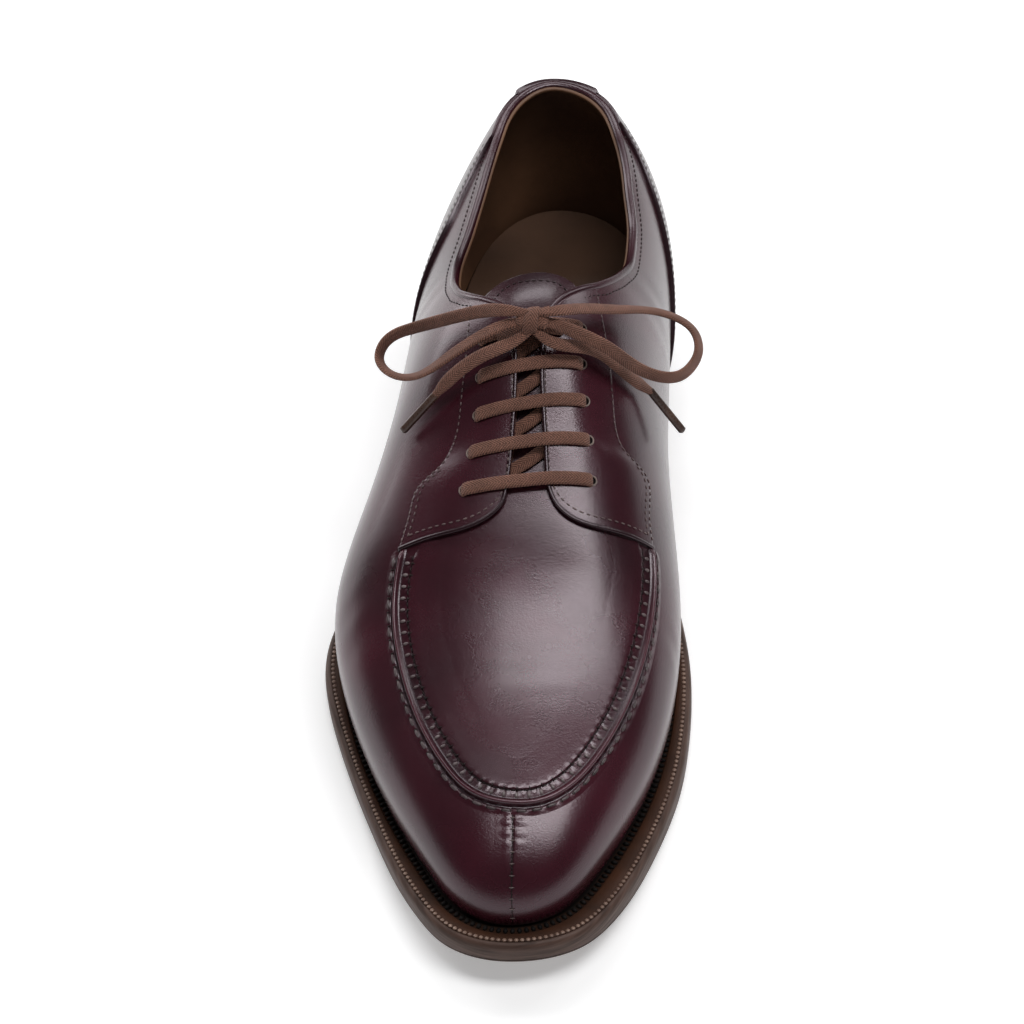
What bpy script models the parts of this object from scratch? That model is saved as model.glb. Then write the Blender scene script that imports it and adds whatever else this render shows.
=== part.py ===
"""A right derby shoe with a raised apron seam and a split toe, on a welted sole.

The shoe stands on its sole. Stations run from the toe tip of the sole to the back of the heel.
The tables are in millimetres; place() turns them into metres with the toe towards -Y, the inner
side of the foot towards +X and the ground at Z = 0.
"""
import bmesh
import bpy
import numpy as np

# Overall sizes, in millimetres.
MM = 0.001
SOLE_LENGTH = 300.0
TOE_EXTENSION = 8.5
HEEL_EXTENSION = 3.5
TOE_SPRING = 9.0
TOE_SPRING_START = 88.0
HEEL_PITCH = 21.0
PITCH_START = 122.0
PITCH_END = 262.0

# Thicknesses and clearances, in millimetres.
OUTSOLE = 5.0
WELT_TOP = 8.0
FEATHER = 8.3
INSOLE_TOP = 10.8
GAP = 0.3
WALL = 2.0
OVERLAY = 1.2
TONGUE = 1.6
TONGUE_UNDER = 2.35
TOP_LIFT = 6.0
HEEL_BREAST = 228.0
HEEL_TAPER = 1.4
SEAM_HALF_WIDTH = 2.4
SEAM_HEIGHT = 2.3
LACE_WIDTH = 5.0
LACE_THICK = 1.4
AGLET_RADIUS = 1.5
BACK_LEAN = 5.0
BACK_BULGE = 26.0

# The last, a row per station: half widths to the outer and inner side, how far the wall tucks in
# at the feather, the height of the widest point and of the crown above the feather, the squareness
# of the section and the sideways shift of the crown.
LAST = (
    # station, outer, inner, tuck, bulge, crown, square, shift
    (8.5, 0.0, 0.0, 0.0, 0.0, 0.0, 2.30, 0.0),
    (17.0, 17.5, 18.5, 0.8, 5.0, 17.5, 2.30, 0.0),
    (28.0, 25.5, 25.8, 1.5, 8.0, 24.0, 2.30, 0.0),
    (46.0, 36.5, 34.5, 2.2, 10.0, 30.9, 2.30, 0.0),
    (66.0, 46.5, 41.5, 2.8, 12.0, 36.0, 2.30, 0.0),
    (90.0, 55.5, 45.8, 3.4, 14.0, 43.8, 2.25, 0.0),
    (104.0, 58.7, 46.7, 3.7, 15.0, 49.6, 2.20, 0.0),
    (118.0, 59.5, 46.6, 4.2, 16.0, 56.6, 2.15, 0.0),
    (150.0, 52.8, 43.5, 6.5, 18.0, 71.0, 2.05, 0.0),
    (180.0, 46.3, 40.8, 8.5, 19.0, 80.5, 2.00, 0.0),
    (198.0, 44.6, 40.6, 8.5, 19.0, 76.5, 2.00, 2.0),
    (216.0, 43.0, 40.4, 7.5, 19.0, 68.5, 2.00, 4.0),
    (236.0, 40.4, 40.0, 6.0, 18.0, 63.8, 2.00, 4.5),
    (256.0, 36.0, 37.9, 4.6, 18.0, 64.2, 2.00, 4.5),
    (280.0, 26.2, 29.4, 2.6, 18.0, 70.5, 2.00, 2.5),
    (296.5, 0.0, 0.0, 0.0, 18.0, 76.0, 2.00, 0.0),
)

# The sole's outline, a row per station: half widths to the outer and inner side.
SOLE = (
    # station, outer, inner
    (0.0, 0.0, 0.0),
    (6.5, 18.9, 21.3),
    (15.6, 26.6, 29.2),
    (27.1, 33.7, 35.3),
    (48.0, 43.6, 42.9),
    (66.1, 51.3, 47.6),
    (86.2, 58.8, 49.9),
    (115.0, 64.2, 49.3),
    (150.0, 54.0, 42.2),
    (185.0, 42.8, 36.2),
    (215.0, 39.0, 35.9),
    (250.0, 36.0, 36.9),
    (282.0, 25.6, 28.0),
    (300.0, 0.0, 0.0),
)

# The throat and the topline: how far down each side of a section the opening's edge lies, as a
# share of the way from the crown to the feather.
OPENING = (
    # station, outer, inner
    (124.0, 0.000, 0.000),
    (127.0, 0.040, 0.050),
    (131.0, 0.046, 0.066),
    (142.0, 0.037, 0.056),
    (155.0, 0.036, 0.046),
    (168.0, 0.042, 0.044),
    (174.0, 0.056, 0.056),
    (178.0, 0.080, 0.076),
    (183.5, 0.165, 0.113),
    (188.5, 0.243, 0.168),
    (195.0, 0.313, 0.248),
    (205.0, 0.362, 0.318),
    (216.0, 0.378, 0.358),
    (231.0, 0.360, 0.362),
    (250.0, 0.350, 0.335),
    (270.0, 0.352, 0.330),
    (284.0, 0.378, 0.360),
    (296.5, 0.397, 0.397),
)

# Stations of the upper's mesh, in spans from the toe to the back.
SPANS = (
    # first, last, count
    (9.0, 14.0, 4),
    (17.5, 33.0, 4),
    (40.0, 111.0, 8),
    (118.0, 127.0, 4),
    (131.0, 166.0, 5),
    (172.0, 192.0, 7),
    (197.0, 267.0, 8),
    (275.0, 288.0, 3),
    (292.5, 295.5, 2),
)
COLUMNS = 11

# The four edges of each facing, as station and share down the side.
FACING_OUTER = {
    "front": ((127.5, 0.052), (123.5, 0.060), (119.5, 0.096), (117.0, 0.150), (115.8, 0.230),
              (115.0, 0.338)),
    "side": ((115.0, 0.338), (124.6, 0.330), (132.0, 0.322), (136.5, 0.262), (142.5, 0.228),
             (155.0, 0.222), (172.0, 0.225), (188.2, 0.245)),
    "throat": ((127.5, 0.052), (134.0, 0.046), (150.0, 0.041), (166.0, 0.043), (174.5, 0.062)),
    "top": ((174.5, 0.062), (178.5, 0.090), (184.0, 0.176), (188.2, 0.245)),
}
FACING_INNER = {
    "front": ((130.0, 0.074), (126.0, 0.090), (122.3, 0.122), (119.8, 0.180), (119.4, 0.270),
              (121.9, 0.455)),
    "side": ((121.9, 0.455), (132.0, 0.466), (143.0, 0.480), (145.4, 0.415), (148.0, 0.357),
             (158.0, 0.336), (174.0, 0.318), (193.5, 0.235)),
    "throat": ((130.0, 0.074), (139.0, 0.064), (150.0, 0.054), (166.0, 0.048), (175.0, 0.064)),
    "top": ((175.0, 0.064), (179.5, 0.088), (187.5, 0.160), (193.5, 0.235)),
}
FACING_ROWS = 13
FACING_COLUMNS = 6

# The counter's front edge: its station against the share of the way from topline to feather.
COUNTER_EDGE = (
    # share, outer, inner
    (0.00, 271.0, 276.0),
    (0.10, 262.0, 271.0),
    (0.22, 242.0, 259.0),
    (0.36, 232.0, 249.0),
    (0.52, 224.0, 238.0),
    (0.75, 212.0, 221.0),
    (1.00, 202.0, 208.0),
)
COUNTER_COLUMNS = 14
COUNTER_ROWS = 11
COUNTER_GAP = 0.45

# The raised seam round the apron: station and signed share, outer side negative.
APRON = (
    # station, share
    (114.0, -0.342),
    (98.0, -0.366),
    (80.5, -0.365),
    (64.0, -0.342),
    (50.0, -0.292),
    (40.7, -0.218),
    (36.0, -0.100),
    (34.9, 0.020),
    (36.9, 0.182),
    (44.0, 0.297),
    (59.9, 0.382),
    (80.0, 0.437),
    (103.0, 0.475),
    (120.2, 0.490),
)
APRON_STEPS = 54

# Half width of the tongue along its length, as a share.
TONGUE_EDGE = (
    # station, share
    (113.0, 0.120),
    (122.0, 0.165),
    (145.0, 0.180),
    (178.0, 0.190),
    (186.0, 0.172),
    (190.0, 0.115),
    (191.5, 0.045),
)

# The lace holes, a row per bar: station and share on each side.
LACE_HOLES = (
    # outer station, outer share, inner station, inner share
    (128.0, 0.165, 132.5, 0.235),
    (138.6, 0.158, 143.8, 0.225),
    (149.0, 0.151, 154.5, 0.213),
    (159.4, 0.155, 164.5, 0.205),
    (170.0, 0.157, 175.0, 0.200),
)

# The bow: its knot, loops and ends, as points of their centre lines.
KNOT_CENTRE = (1.1, 168.9, 99.9)
KNOT_RADII = (5.9, 4.9, 3.5)
BOW = {
    "lace_loop_outer": ((-5.2, 169.0, 104.0), (-13.0, 171.6, 101.4), (-22.0, 174.0, 96.6),
                        (-37.1, 177.1, 88.0), (-45.2, 175.2, 84.0), (-47.2, 172.0, 80.5),
                        (-43.4, 166.2, 79.5), (-37.1, 163.1, 81.0), (-24.9, 162.6, 90.2),
                        (-13.4, 165.6, 97.4), (-5.2, 167.6, 100.2)),
    "lace_loop_inner": ((7.4, 169.0, 104.0), (16.0, 174.6, 99.8), (26.0, 180.6, 93.8),
                        (42.3, 187.9, 84.0), (48.9, 184.7, 81.0), (50.6, 179.7, 78.0),
                        (48.2, 173.3, 76.4), (44.1, 168.4, 77.4), (34.6, 165.5, 82.4),
                        (22.9, 163.7, 94.9), (13.7, 165.6, 99.0), (7.4, 167.6, 100.2)),
    "lace_end_outer": ((-4.2, 163.6, 96.6), (-13.0, 159.4, 95.0), (-24.4, 156.0, 86.7),
                       (-28.6, 154.4, 81.8)),
    "lace_end_inner": ((6.4, 163.8, 96.6), (18.8, 166.2, 91.0), (28.8, 166.4, 80.8),
                       (36.4, 168.4, 70.6)),
}
AGLETS = {
    "aglet_outer": ((-29.0, 154.3, 81.4), (-38.6, 151.2, 70.1)),
    "aglet_inner": ((37.0, 168.2, 69.7), (45.8, 165.2, 57.2)),
}
LACE_UP = (0.0, -0.5, 0.866)

# Finishes: colour and roughness for each sub-part.
FINISHES = {
    "burgundy_leather": ((0.045, 0.010, 0.014), 0.34),
    "insole_leather": ((0.300, 0.160, 0.080), 0.60),
    "welt_leather": ((0.120, 0.062, 0.038), 0.55),
    "sole_leather": ((0.130, 0.085, 0.062), 0.55),
    "heel_leather": ((0.085, 0.050, 0.036), 0.50),
    "top_lift_rubber": ((0.022, 0.020, 0.020), 0.75),
    "lace_cotton": ((0.085, 0.045, 0.030), 0.80),
    "aglet_plastic": ((0.045, 0.022, 0.015), 0.40),
}


def clear_scene():
    """Remove every object, mesh and material."""
    for item in list(bpy.data.objects):
        bpy.data.objects.remove(item, do_unlink=True)
    for item in list(bpy.data.meshes):
        bpy.data.meshes.remove(item)
    for item in list(bpy.data.materials):
        bpy.data.materials.remove(item)


def smooth_step(first, last, value):
    """Ease from 0 at first to 1 at last."""
    share = np.clip((np.asarray(value, float) - first) / (last - first), 0.0, 1.0)
    return share * share * (3.0 - 2.0 * share)


def natural_spline(knots, values):
    """Return a function for the natural cubic through the knots."""
    knots = np.asarray(knots, float)
    values = np.asarray(values, float)
    count = len(knots)
    span = np.diff(knots)
    matrix = np.eye(count)
    right = np.zeros(count)
    for i in range(1, count - 1):
        matrix[i, i - 1:i + 2] = (span[i - 1], 2.0 * (span[i - 1] + span[i]), span[i])
        rise = (values[i + 1] - values[i]) / span[i]
        right[i] = 6.0 * (rise - (values[i] - values[i - 1]) / span[i - 1])
    bend = np.linalg.solve(matrix, right)

    def evaluate(at):
        at = np.asarray(at, float)
        i = np.clip(np.searchsorted(knots, at) - 1, 0, count - 2)
        low = (knots[i + 1] - at) / span[i]
        high = (at - knots[i]) / span[i]
        curve = (low ** 3 - low) * bend[i] + (high ** 3 - high) * bend[i + 1]
        return low * values[i] + high * values[i + 1] + curve * span[i] ** 2 / 6.0

    return evaluate


def gentle_spline(knots, values):
    """Return a function for a cubic through the knots that never overshoots them."""
    knots = np.asarray(knots, float)
    values = np.asarray(values, float)
    span = np.diff(knots)
    rise = np.diff(values) / span
    slope = np.zeros(len(knots))
    for i in range(1, len(knots) - 1):
        if rise[i - 1] * rise[i] > 0.0:
            slope[i] = 2.0 * rise[i - 1] * rise[i] / (rise[i - 1] + rise[i])

    def evaluate(at):
        at = np.clip(np.asarray(at, float), knots[0], knots[-1])
        i = np.clip(np.searchsorted(knots, at) - 1, 0, len(span) - 1)
        t = (at - knots[i]) / span[i]
        start = (1.0 + 2.0 * t) * (1.0 - t) ** 2 * values[i] + t * (1.0 - t) ** 2 * span[i] * slope[i]
        end = t * t * (3.0 - 2.0 * t) * values[i + 1] - t * t * (1.0 - t) * span[i] * slope[i + 1]
        return start + end

    return evaluate


def path_points(rows, count):
    """Return count points spread evenly along a smooth curve through the rows."""
    rows = np.asarray(rows, float)
    steps = np.r_[0.0, np.cumsum(np.linalg.norm(np.diff(rows, axis=0), axis=1))]
    curves = [natural_spline(steps, rows[:, k]) for k in range(rows.shape[1])]
    fine = np.stack([curve(np.linspace(0.0, steps[-1], 400)) for curve in curves], axis=1)
    run = np.r_[0.0, np.cumsum(np.linalg.norm(np.diff(fine, axis=0), axis=1))]
    at = np.linspace(0.0, run[-1], count)
    return np.stack([np.interp(at, run, fine[:, k]) for k in range(rows.shape[1])], axis=1)


def turn_of(station, first, last):
    """Return the angle from 0 at the first station to pi at the last."""
    share = (np.asarray(station, float) - first) / (last - first)
    return np.arccos(np.clip(1.0 - 2.0 * share, -1.0, 1.0))


def station_of(turn, first, last):
    """Return the station at an angle."""
    return first + (last - first) * (1.0 - np.cos(turn)) / 2.0


def table_column(rows, index, odd_at_toe, odd_at_heel):
    """Return a smooth column of a table, mirrored about both ends."""
    rows = np.asarray(rows, float)
    turns = turn_of(rows[:, 0], rows[0, 0], rows[-1, 0])
    values = rows[:, index]
    toe = -1.0 if odd_at_toe else 1.0
    heel = -1.0 if odd_at_heel else 1.0
    knots = np.r_[-turns[3:0:-1], turns, 2.0 * np.pi - turns[-2:-5:-1]]
    return natural_spline(knots, np.r_[toe * values[3:0:-1], values, heel * values[-2:-5:-1]])


FIRST = TOE_EXTENSION
LAST_STATION = SOLE_LENGTH - HEEL_EXTENSION
OUTER = table_column(LAST, 1, True, True)
INNER = table_column(LAST, 2, True, True)
TUCK = table_column(LAST, 3, True, True)
BULGE = table_column(LAST, 4, True, False)
CROWN = table_column(LAST, 5, True, False)
SQUARE = table_column(LAST, 6, False, False)
SHIFT = table_column(LAST, 7, True, False)
SOLE_OUTER = table_column(SOLE, 1, True, True)
SOLE_INNER = table_column(SOLE, 2, True, True)
OPEN_OUTER = gentle_spline([row[0] for row in OPENING], [row[1] for row in OPENING])
OPEN_INNER = gentle_spline([row[0] for row in OPENING], [row[2] for row in OPENING])


def sole_bottom(station):
    """Return the height of the outsole's underside: toe spring, flat tread, then heel pitch."""
    station = np.asarray(station, float)
    toe = TOE_SPRING * np.clip((TOE_SPRING_START - station) / TOE_SPRING_START, 0.0, None) ** 2.2
    return toe + HEEL_PITCH * smooth_step(PITCH_START, PITCH_END, station)


def surface(turn, share):
    """Return points of the upper's outside at an angle and a signed share down the section."""
    turn, share = np.broadcast_arrays(np.asarray(turn, float), np.asarray(share, float))
    station = station_of(turn, FIRST, LAST_STATION)
    down = np.abs(share)
    width = np.maximum(np.where(share < 0.0, OUTER(turn), INNER(turn)), 0.0)
    bulge = np.maximum(BULGE(turn), 0.0)
    rise = np.maximum(CROWN(turn) - bulge, 1e-6)
    power = SQUARE(turn)
    arc = np.pi / 2.0 * np.sqrt((width ** 2 + rise ** 2) / 2.0)
    knee = arc / (arc + bulge + 1e-9)
    angle = np.pi / 2.0 * (1.0 - np.clip(down / knee, 0.0, 1.0))
    cosine = np.abs(np.cos(angle))
    sine = np.abs(np.sin(angle))
    reach = (cosine ** power + sine ** power) ** (-1.0 / power)
    below = np.clip((down - knee) / np.maximum(1.0 - knee, 1e-9), 0.0, 1.0)
    tuck = np.minimum(TUCK(turn), width) * below ** 2.4
    side = np.where(down <= knee, width * reach * cosine, width - tuck)
    height = np.where(down <= knee, bulge + rise * reach * sine, bulge * (1.0 - below))
    lift = np.clip((height - bulge) / rise, 0.0, 1.0)
    x = np.where(share < 0.0, -side, side) + SHIFT(turn) * lift ** 2
    above = (height - BACK_BULGE) / 40.0
    lean = BACK_LEAN * above ** 2 * np.where(above > 0.0, 1.0, 0.5) * smooth_step(225.0, 296.0, station)
    return np.stack([x, station - lean, height + sole_bottom(station) + FEATHER], axis=-1)


def normals(turn, share):
    """Return outward unit normals of the upper's outside."""
    turn, share = np.broadcast_arrays(np.asarray(turn, float), np.asarray(share, float))
    step = 2e-4
    low = np.clip(turn - step, 1e-3, np.pi)
    along = surface(np.clip(turn + step, 2e-3, np.pi), share) - surface(low, share)
    keep = np.where(share < 0.0, -1e-9, 1e-9)
    upper = np.clip(share - step, -1.0, 1.0)
    lower = np.clip(share + step, -1.0, 1.0)
    rear = turn > 3.1
    upper = np.where(rear & (share > 0.0), np.maximum(upper, keep), upper)
    lower = np.where(rear & (share < 0.0), np.minimum(lower, keep), lower)
    across = surface(turn, lower) - surface(turn, upper)
    cross = np.cross(across, along)
    length = np.linalg.norm(cross, axis=-1, keepdims=True)
    facing = np.where(length > 1e-12, cross / np.maximum(length, 1e-12), np.array((0.0, -1.0, 0.0)))
    return np.where(turn[..., None] < 0.01, np.array((0.0, -1.0, 0.0)), facing)


def skin(station, share, offset):
    """Return points at an offset outside the upper's surface."""
    turn = turn_of(station, FIRST, LAST_STATION)
    return surface(turn, share) + offset * normals(turn, share)


def sole_edge(turn, inset):
    """Return both sides of the sole's outline, moved in by an inset."""
    station = station_of(turn, 0.0, SOLE_LENGTH)
    outer = np.stack([-SOLE_OUTER(turn), station], axis=1)
    inner = np.stack([SOLE_INNER(turn), station], axis=1)
    return inset_pair(outer, inner, inset)


def feather_edge(turn, inset):
    """Return both sides of the upper's bottom edge in plan, moved in by an inset."""
    outer = surface(turn, -1.0)[:, :2]
    inner = surface(turn, 1.0)[:, :2]
    return inset_pair(outer, inner, inset)


def inset_pair(outer, inner, inset):
    """Move a closed outline inwards, given as two sides from toe to heel."""
    loop = np.concatenate([outer, inner[-2:0:-1]])
    ahead = np.roll(loop, -1, axis=0) - np.roll(loop, 1, axis=0)
    ahead /= np.linalg.norm(ahead, axis=1, keepdims=True)
    inward = np.stack([ahead[:, 1], -ahead[:, 0]], axis=1)
    centre = np.array((0.0, SOLE_LENGTH / 2.0))
    if np.sum(inward * (centre - loop)) < 0.0:
        inward = -inward
    moved = loop + inset * inward
    count = len(outer)
    back = np.concatenate([moved[:1], moved[count:][::-1], moved[count - 1:count]])
    return moved[:count], back


def place(points):
    """Turn millimetre points into metres about the middle of the sole."""
    turn = np.linspace(0.0, np.pi, 400)
    middle = (SOLE_INNER(turn).max() - SOLE_OUTER(turn).max()) / 2.0
    return (np.asarray(points, float) - np.array((middle, SOLE_LENGTH / 2.0, 0.0))) * MM


def make_material(name):
    """Return the named finish as a Principled material."""
    found = bpy.data.materials.get(name)
    if found is not None:
        return found
    colour, rough = FINISHES[name]
    material = bpy.data.materials.new(name)
    material.use_nodes = True
    shader = material.node_tree.nodes["Principled BSDF"]
    shader.inputs["Base Color"].default_value = (*colour, 1.0)
    shader.inputs["Roughness"].default_value = rough
    material.diffuse_color = (*colour, 1.0)
    return material


def make_object(name, points, faces, finish, parts):
    """Make one closed mesh object, facing outwards."""
    mesh = bpy.data.meshes.new(name)
    mesh.from_pydata([tuple(point) for point in place(points)], [], faces)
    work = bmesh.new()
    work.from_mesh(mesh)
    bmesh.ops.recalc_face_normals(work, faces=work.faces[:])
    bmesh.ops.triangulate(work, faces=work.faces[:])
    work.to_mesh(mesh)
    work.free()
    mesh.materials.append(make_material(finish))
    item = bpy.data.objects.new(name, mesh)
    parts.objects.link(item)
    return item


def weld(outside, inside, faces):
    """Join sheet points that share a place, and drop what that collapses."""
    seen = {}
    index = []
    keep = []
    for number, point in enumerate(outside):
        key = tuple(np.round(point, 4))
        if key not in seen:
            seen[key] = len(keep)
            keep.append(number)
        index.append(seen[key])
    joined = []
    for face in faces:
        ring = []
        for corner in face:
            if index[corner] not in ring:
                ring.append(index[corner])
        if len(ring) > 2:
            joined.append(tuple(ring))
    return outside[keep], inside[keep], joined


def sheet_solid(name, outside, inside, faces, finish, parts):
    """Make a solid between two sheets of the same layout, closed round its rim."""
    outside, inside, faces = weld(np.asarray(outside, float), np.asarray(inside, float), faces)
    count = len(outside)
    edges = set()
    for face in faces:
        for a, b in zip(face, face[1:] + face[:1]):
            edges.add((a, b))
    closed = list(faces)
    closed += [tuple(corner + count for corner in face[::-1]) for face in faces]
    closed += [(b, a, a + count, b + count) for a, b in sorted(edges) if (b, a) not in edges]
    return make_object(name, np.concatenate([outside, inside]), closed, finish, parts)


def grid_faces(rows, columns, start=0):
    """Return the quads of a grid of points stored row by row."""
    faces = []
    for i in range(rows - 1):
        for j in range(columns - 1):
            a = start + i * columns + j
            faces.append((a, a + 1, a + columns + 1, a + columns))
    return faces


def sweep(name, path, up, section, finish, parts):
    """Make a solid of a section carried along a path, with its up side towards up."""
    path = np.asarray(path, float)
    along = np.gradient(path, axis=0)
    along /= np.linalg.norm(along, axis=1, keepdims=True)
    side = np.cross(along, up)
    side /= np.linalg.norm(side, axis=1, keepdims=True)
    top = np.cross(side, along)
    ring = len(section)
    points = [path[i] + a * side[i] + b * top[i] for i in range(len(path)) for a, b in section]
    faces = []
    for i in range(len(path) - 1):
        for j in range(ring):
            a = i * ring + j
            b = i * ring + (j + 1) % ring
            faces.append((a, b, b + ring, a + ring))
    faces.append(tuple(range(ring)))
    faces.append(tuple(range((len(path) - 1) * ring, len(path) * ring)))
    return make_object(name, points, faces, finish, parts)


def lace_section():
    """Return the flat lace's section."""
    wide = LACE_WIDTH / 2.0
    thick = LACE_THICK / 2.0
    return ((-wide, -0.3 * thick), (-0.8 * wide, -thick), (0.8 * wide, -thick), (wide, -0.3 * thick),
            (0.8 * wide, thick), (-0.8 * wide, thick))


def upper_stations():
    """Return the stations of the upper's mesh."""
    return np.concatenate([np.linspace(first, last, count) for first, last, count in SPANS])


def build_upper(parts):
    """The hollow upper, open at the throat, the collar and underneath."""
    stations = np.r_[FIRST, upper_stations(), LAST_STATION]
    outside = []
    inside = []
    faces = []
    for sign, edge in ((-1.0, OPEN_OUTER), (1.0, OPEN_INNER)):
        start = len(outside) * (COLUMNS + 1)
        for station in stations:
            share = edge(station) + (1.0 - edge(station)) * np.linspace(0.0, 1.0, COLUMNS + 1)
            rows = np.full(COLUMNS + 1, station)
            outside.append(skin(rows, sign * share, 0.0))
            inner = skin(rows, sign * share, -WALL)
            inner[-1, 2] = outside[-1][-1, 2]
            inside.append(inner)
        faces += grid_faces(len(stations), COLUMNS + 1, start)
    count = len(stations) * (COLUMNS + 1)
    flipped = [face[::-1] if face[0] >= count else face for face in faces]
    return sheet_solid("upper", np.concatenate(outside), np.concatenate(inside), flipped,
                       "burgundy_leather", parts)


def patch_points(edges, sign):
    """Return a grid of stations and shares filling four edge curves."""
    down = path_points(np.array(edges["front"]) * (1.0, 100.0), FACING_COLUMNS)
    up = path_points(np.array(edges["top"]) * (1.0, 100.0), FACING_COLUMNS)
    near = path_points(np.array(edges["throat"]) * (1.0, 100.0), FACING_ROWS)
    far = path_points(np.array(edges["side"]) * (1.0, 100.0), FACING_ROWS)
    a = np.linspace(0.0, 1.0, FACING_ROWS)[:, None, None]
    b = np.linspace(0.0, 1.0, FACING_COLUMNS)[None, :, None]
    lengthwise = (1.0 - b) * near[:, None, :] + b * far[:, None, :]
    crosswise = (1.0 - a) * down[None, :, :] + a * up[None, :, :]
    corners = (1.0 - a) * ((1.0 - b) * down[0] + b * down[-1]) + a * ((1.0 - b) * up[0] + b * up[-1])
    grid = lengthwise + crosswise - corners
    return grid[..., 0].ravel(), sign * grid[..., 1].ravel() / 100.0


def build_facings(parts):
    """The two lace facings, laid on the upper with their rounded front corners."""
    faces = grid_faces(FACING_ROWS, FACING_COLUMNS)
    for name, edges, sign in (("facing_outer", FACING_OUTER, -1.0), ("facing_inner", FACING_INNER, 1.0)):
        station, share = patch_points(edges, sign)
        low = skin(station, share, GAP)
        high = skin(station, share, GAP + OVERLAY)
        sheet_solid(name, high, low, faces, "burgundy_leather", parts)


def build_counter(parts):
    """The heel counter, laid round the back of the upper."""
    shares = np.linspace(0.02, 0.975, COUNTER_ROWS)
    table = np.array(COUNTER_EDGE)
    low = []
    high = []
    for share in shares:
        stations = []
        downs = []
        for sign, column, edge in ((-1.0, 1, OPEN_OUTER), (1.0, 2, OPEN_INNER)):
            front = turn_of(gentle_spline(table[:, 0], table[:, column])(share), FIRST, LAST_STATION)
            turns = np.linspace(front, np.pi, COUNTER_COLUMNS)
            here = station_of(turns, FIRST, LAST_STATION)
            opening = edge(here)
            downs.append(sign * (opening + (1.0 - opening) * share))
            stations.append(here)
        station = np.r_[stations[0], stations[1][-2::-1]]
        down = np.r_[downs[0], downs[1][-2::-1]]
        floor = sole_bottom(station) + FEATHER
        for sheet, offset in ((low, COUNTER_GAP), (high, COUNTER_GAP + OVERLAY)):
            points = skin(station, down, offset)
            points[:, 2] = np.maximum(points[:, 2], floor)
            sheet.append(points)
    faces = grid_faces(COUNTER_ROWS, 2 * COUNTER_COLUMNS - 1)
    sheet_solid("heel_counter", np.concatenate(high), np.concatenate(low), faces, "burgundy_leather", parts)


def build_apron_seam(parts):
    """The raised seam that runs round the apron."""
    line = path_points(np.array(APRON) * (1.0, 100.0), APRON_STEPS)
    turn = turn_of(line[:, 0], FIRST, LAST_STATION)
    share = line[:, 1] / 100.0
    path = surface(turn, share)
    wide = SEAM_HALF_WIDTH
    section = ((-wide, GAP), (wide, GAP), (0.65 * wide, 0.8 * SEAM_HEIGHT), (0.0, SEAM_HEIGHT),
               (-0.65 * wide, 0.8 * SEAM_HEIGHT))
    sweep("apron_seam", path, normals(turn, share), section, "burgundy_leather", parts)


def build_tongue(parts):
    """The tongue under the facings, standing out of the throat."""
    rows = 15
    columns = 7
    table = np.array(TONGUE_EDGE)
    half = gentle_spline(table[:, 0], table[:, 1])
    stations = station_of(np.linspace(0.0, np.pi, rows), table[0, 0], table[-1, 0])
    station = np.repeat(stations, columns)
    share = np.tile(np.linspace(-1.0, 1.0, columns), rows) * half(station)
    high = skin(station, share, -TONGUE_UNDER)
    low = skin(station, share, -TONGUE_UNDER - TONGUE)
    sheet_solid("tongue", high, low, grid_faces(rows, columns), "burgundy_leather", parts)


def plate(name, top, bottom, top_height, bottom_height, finish, parts):
    """Make a plate between two outlines, each given as its two sides."""
    sheets = []
    for pair, height in ((top, top_height), (bottom, bottom_height)):
        points = np.stack(pair, axis=1).reshape(-1, 2)
        sheets.append(np.c_[points, height(points[:, 1])])
    return sheet_solid(name, sheets[0], sheets[1], grid_faces(len(top[0]), 2), finish, parts)


def build_bottom(parts):
    """The insole, welt, outsole, heel and top lift."""
    turn = np.linspace(0.0, np.pi, 41)
    edge = sole_edge(turn, 0.0)
    plate("outsole", edge, edge, lambda y: sole_bottom(y) + OUTSOLE, sole_bottom, "sole_leather", parts)

    rim = sole_edge(turn, 0.4)
    throat = feather_edge(turn, WALL + 0.2)
    loops = [np.concatenate([pair[0], pair[1][-2:0:-1]]) for pair in (rim, throat)]
    count = len(loops[0])
    ring = np.concatenate(loops)
    top = np.c_[ring, sole_bottom(ring[:, 1]) + WELT_TOP]
    under = np.c_[ring, sole_bottom(ring[:, 1]) + OUTSOLE + GAP]
    faces = [(i, (i + 1) % count, (i + 1) % count + count, i + count) for i in range(count)]
    sheet_solid("welt", top, under, faces, "welt_leather", parts)

    inside = feather_edge(turn, WALL + 0.55)
    plate("insole", inside, inside, lambda y: sole_bottom(y) + INSOLE_TOP,
          lambda y: sole_bottom(y) + OUTSOLE + GAP, "insole_leather", parts)

    breast = turn_of(HEEL_BREAST, 0.0, SOLE_LENGTH)
    heel_turn = np.linspace(breast, np.pi, 15)
    waist = turn[turn < breast - 0.03]
    whole = np.r_[waist, heel_turn]
    rings = []
    for inset in (0.7, 0.7 + 0.7 * HEEL_TAPER, 0.7 + HEEL_TAPER):
        pair = sole_edge(whole, inset)
        rings.append((pair[0][len(waist):], pair[1][len(waist):]))
    plate("heel_stack", rings[0], rings[1], lambda y: sole_bottom(y) - GAP,
          lambda y: np.full(len(y), TOP_LIFT + GAP), "heel_leather", parts)
    plate("top_lift", rings[1], rings[2], lambda y: np.full(len(y), TOP_LIFT),
          lambda y: np.zeros(len(y)), "top_lift_rubber", parts)


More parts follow.
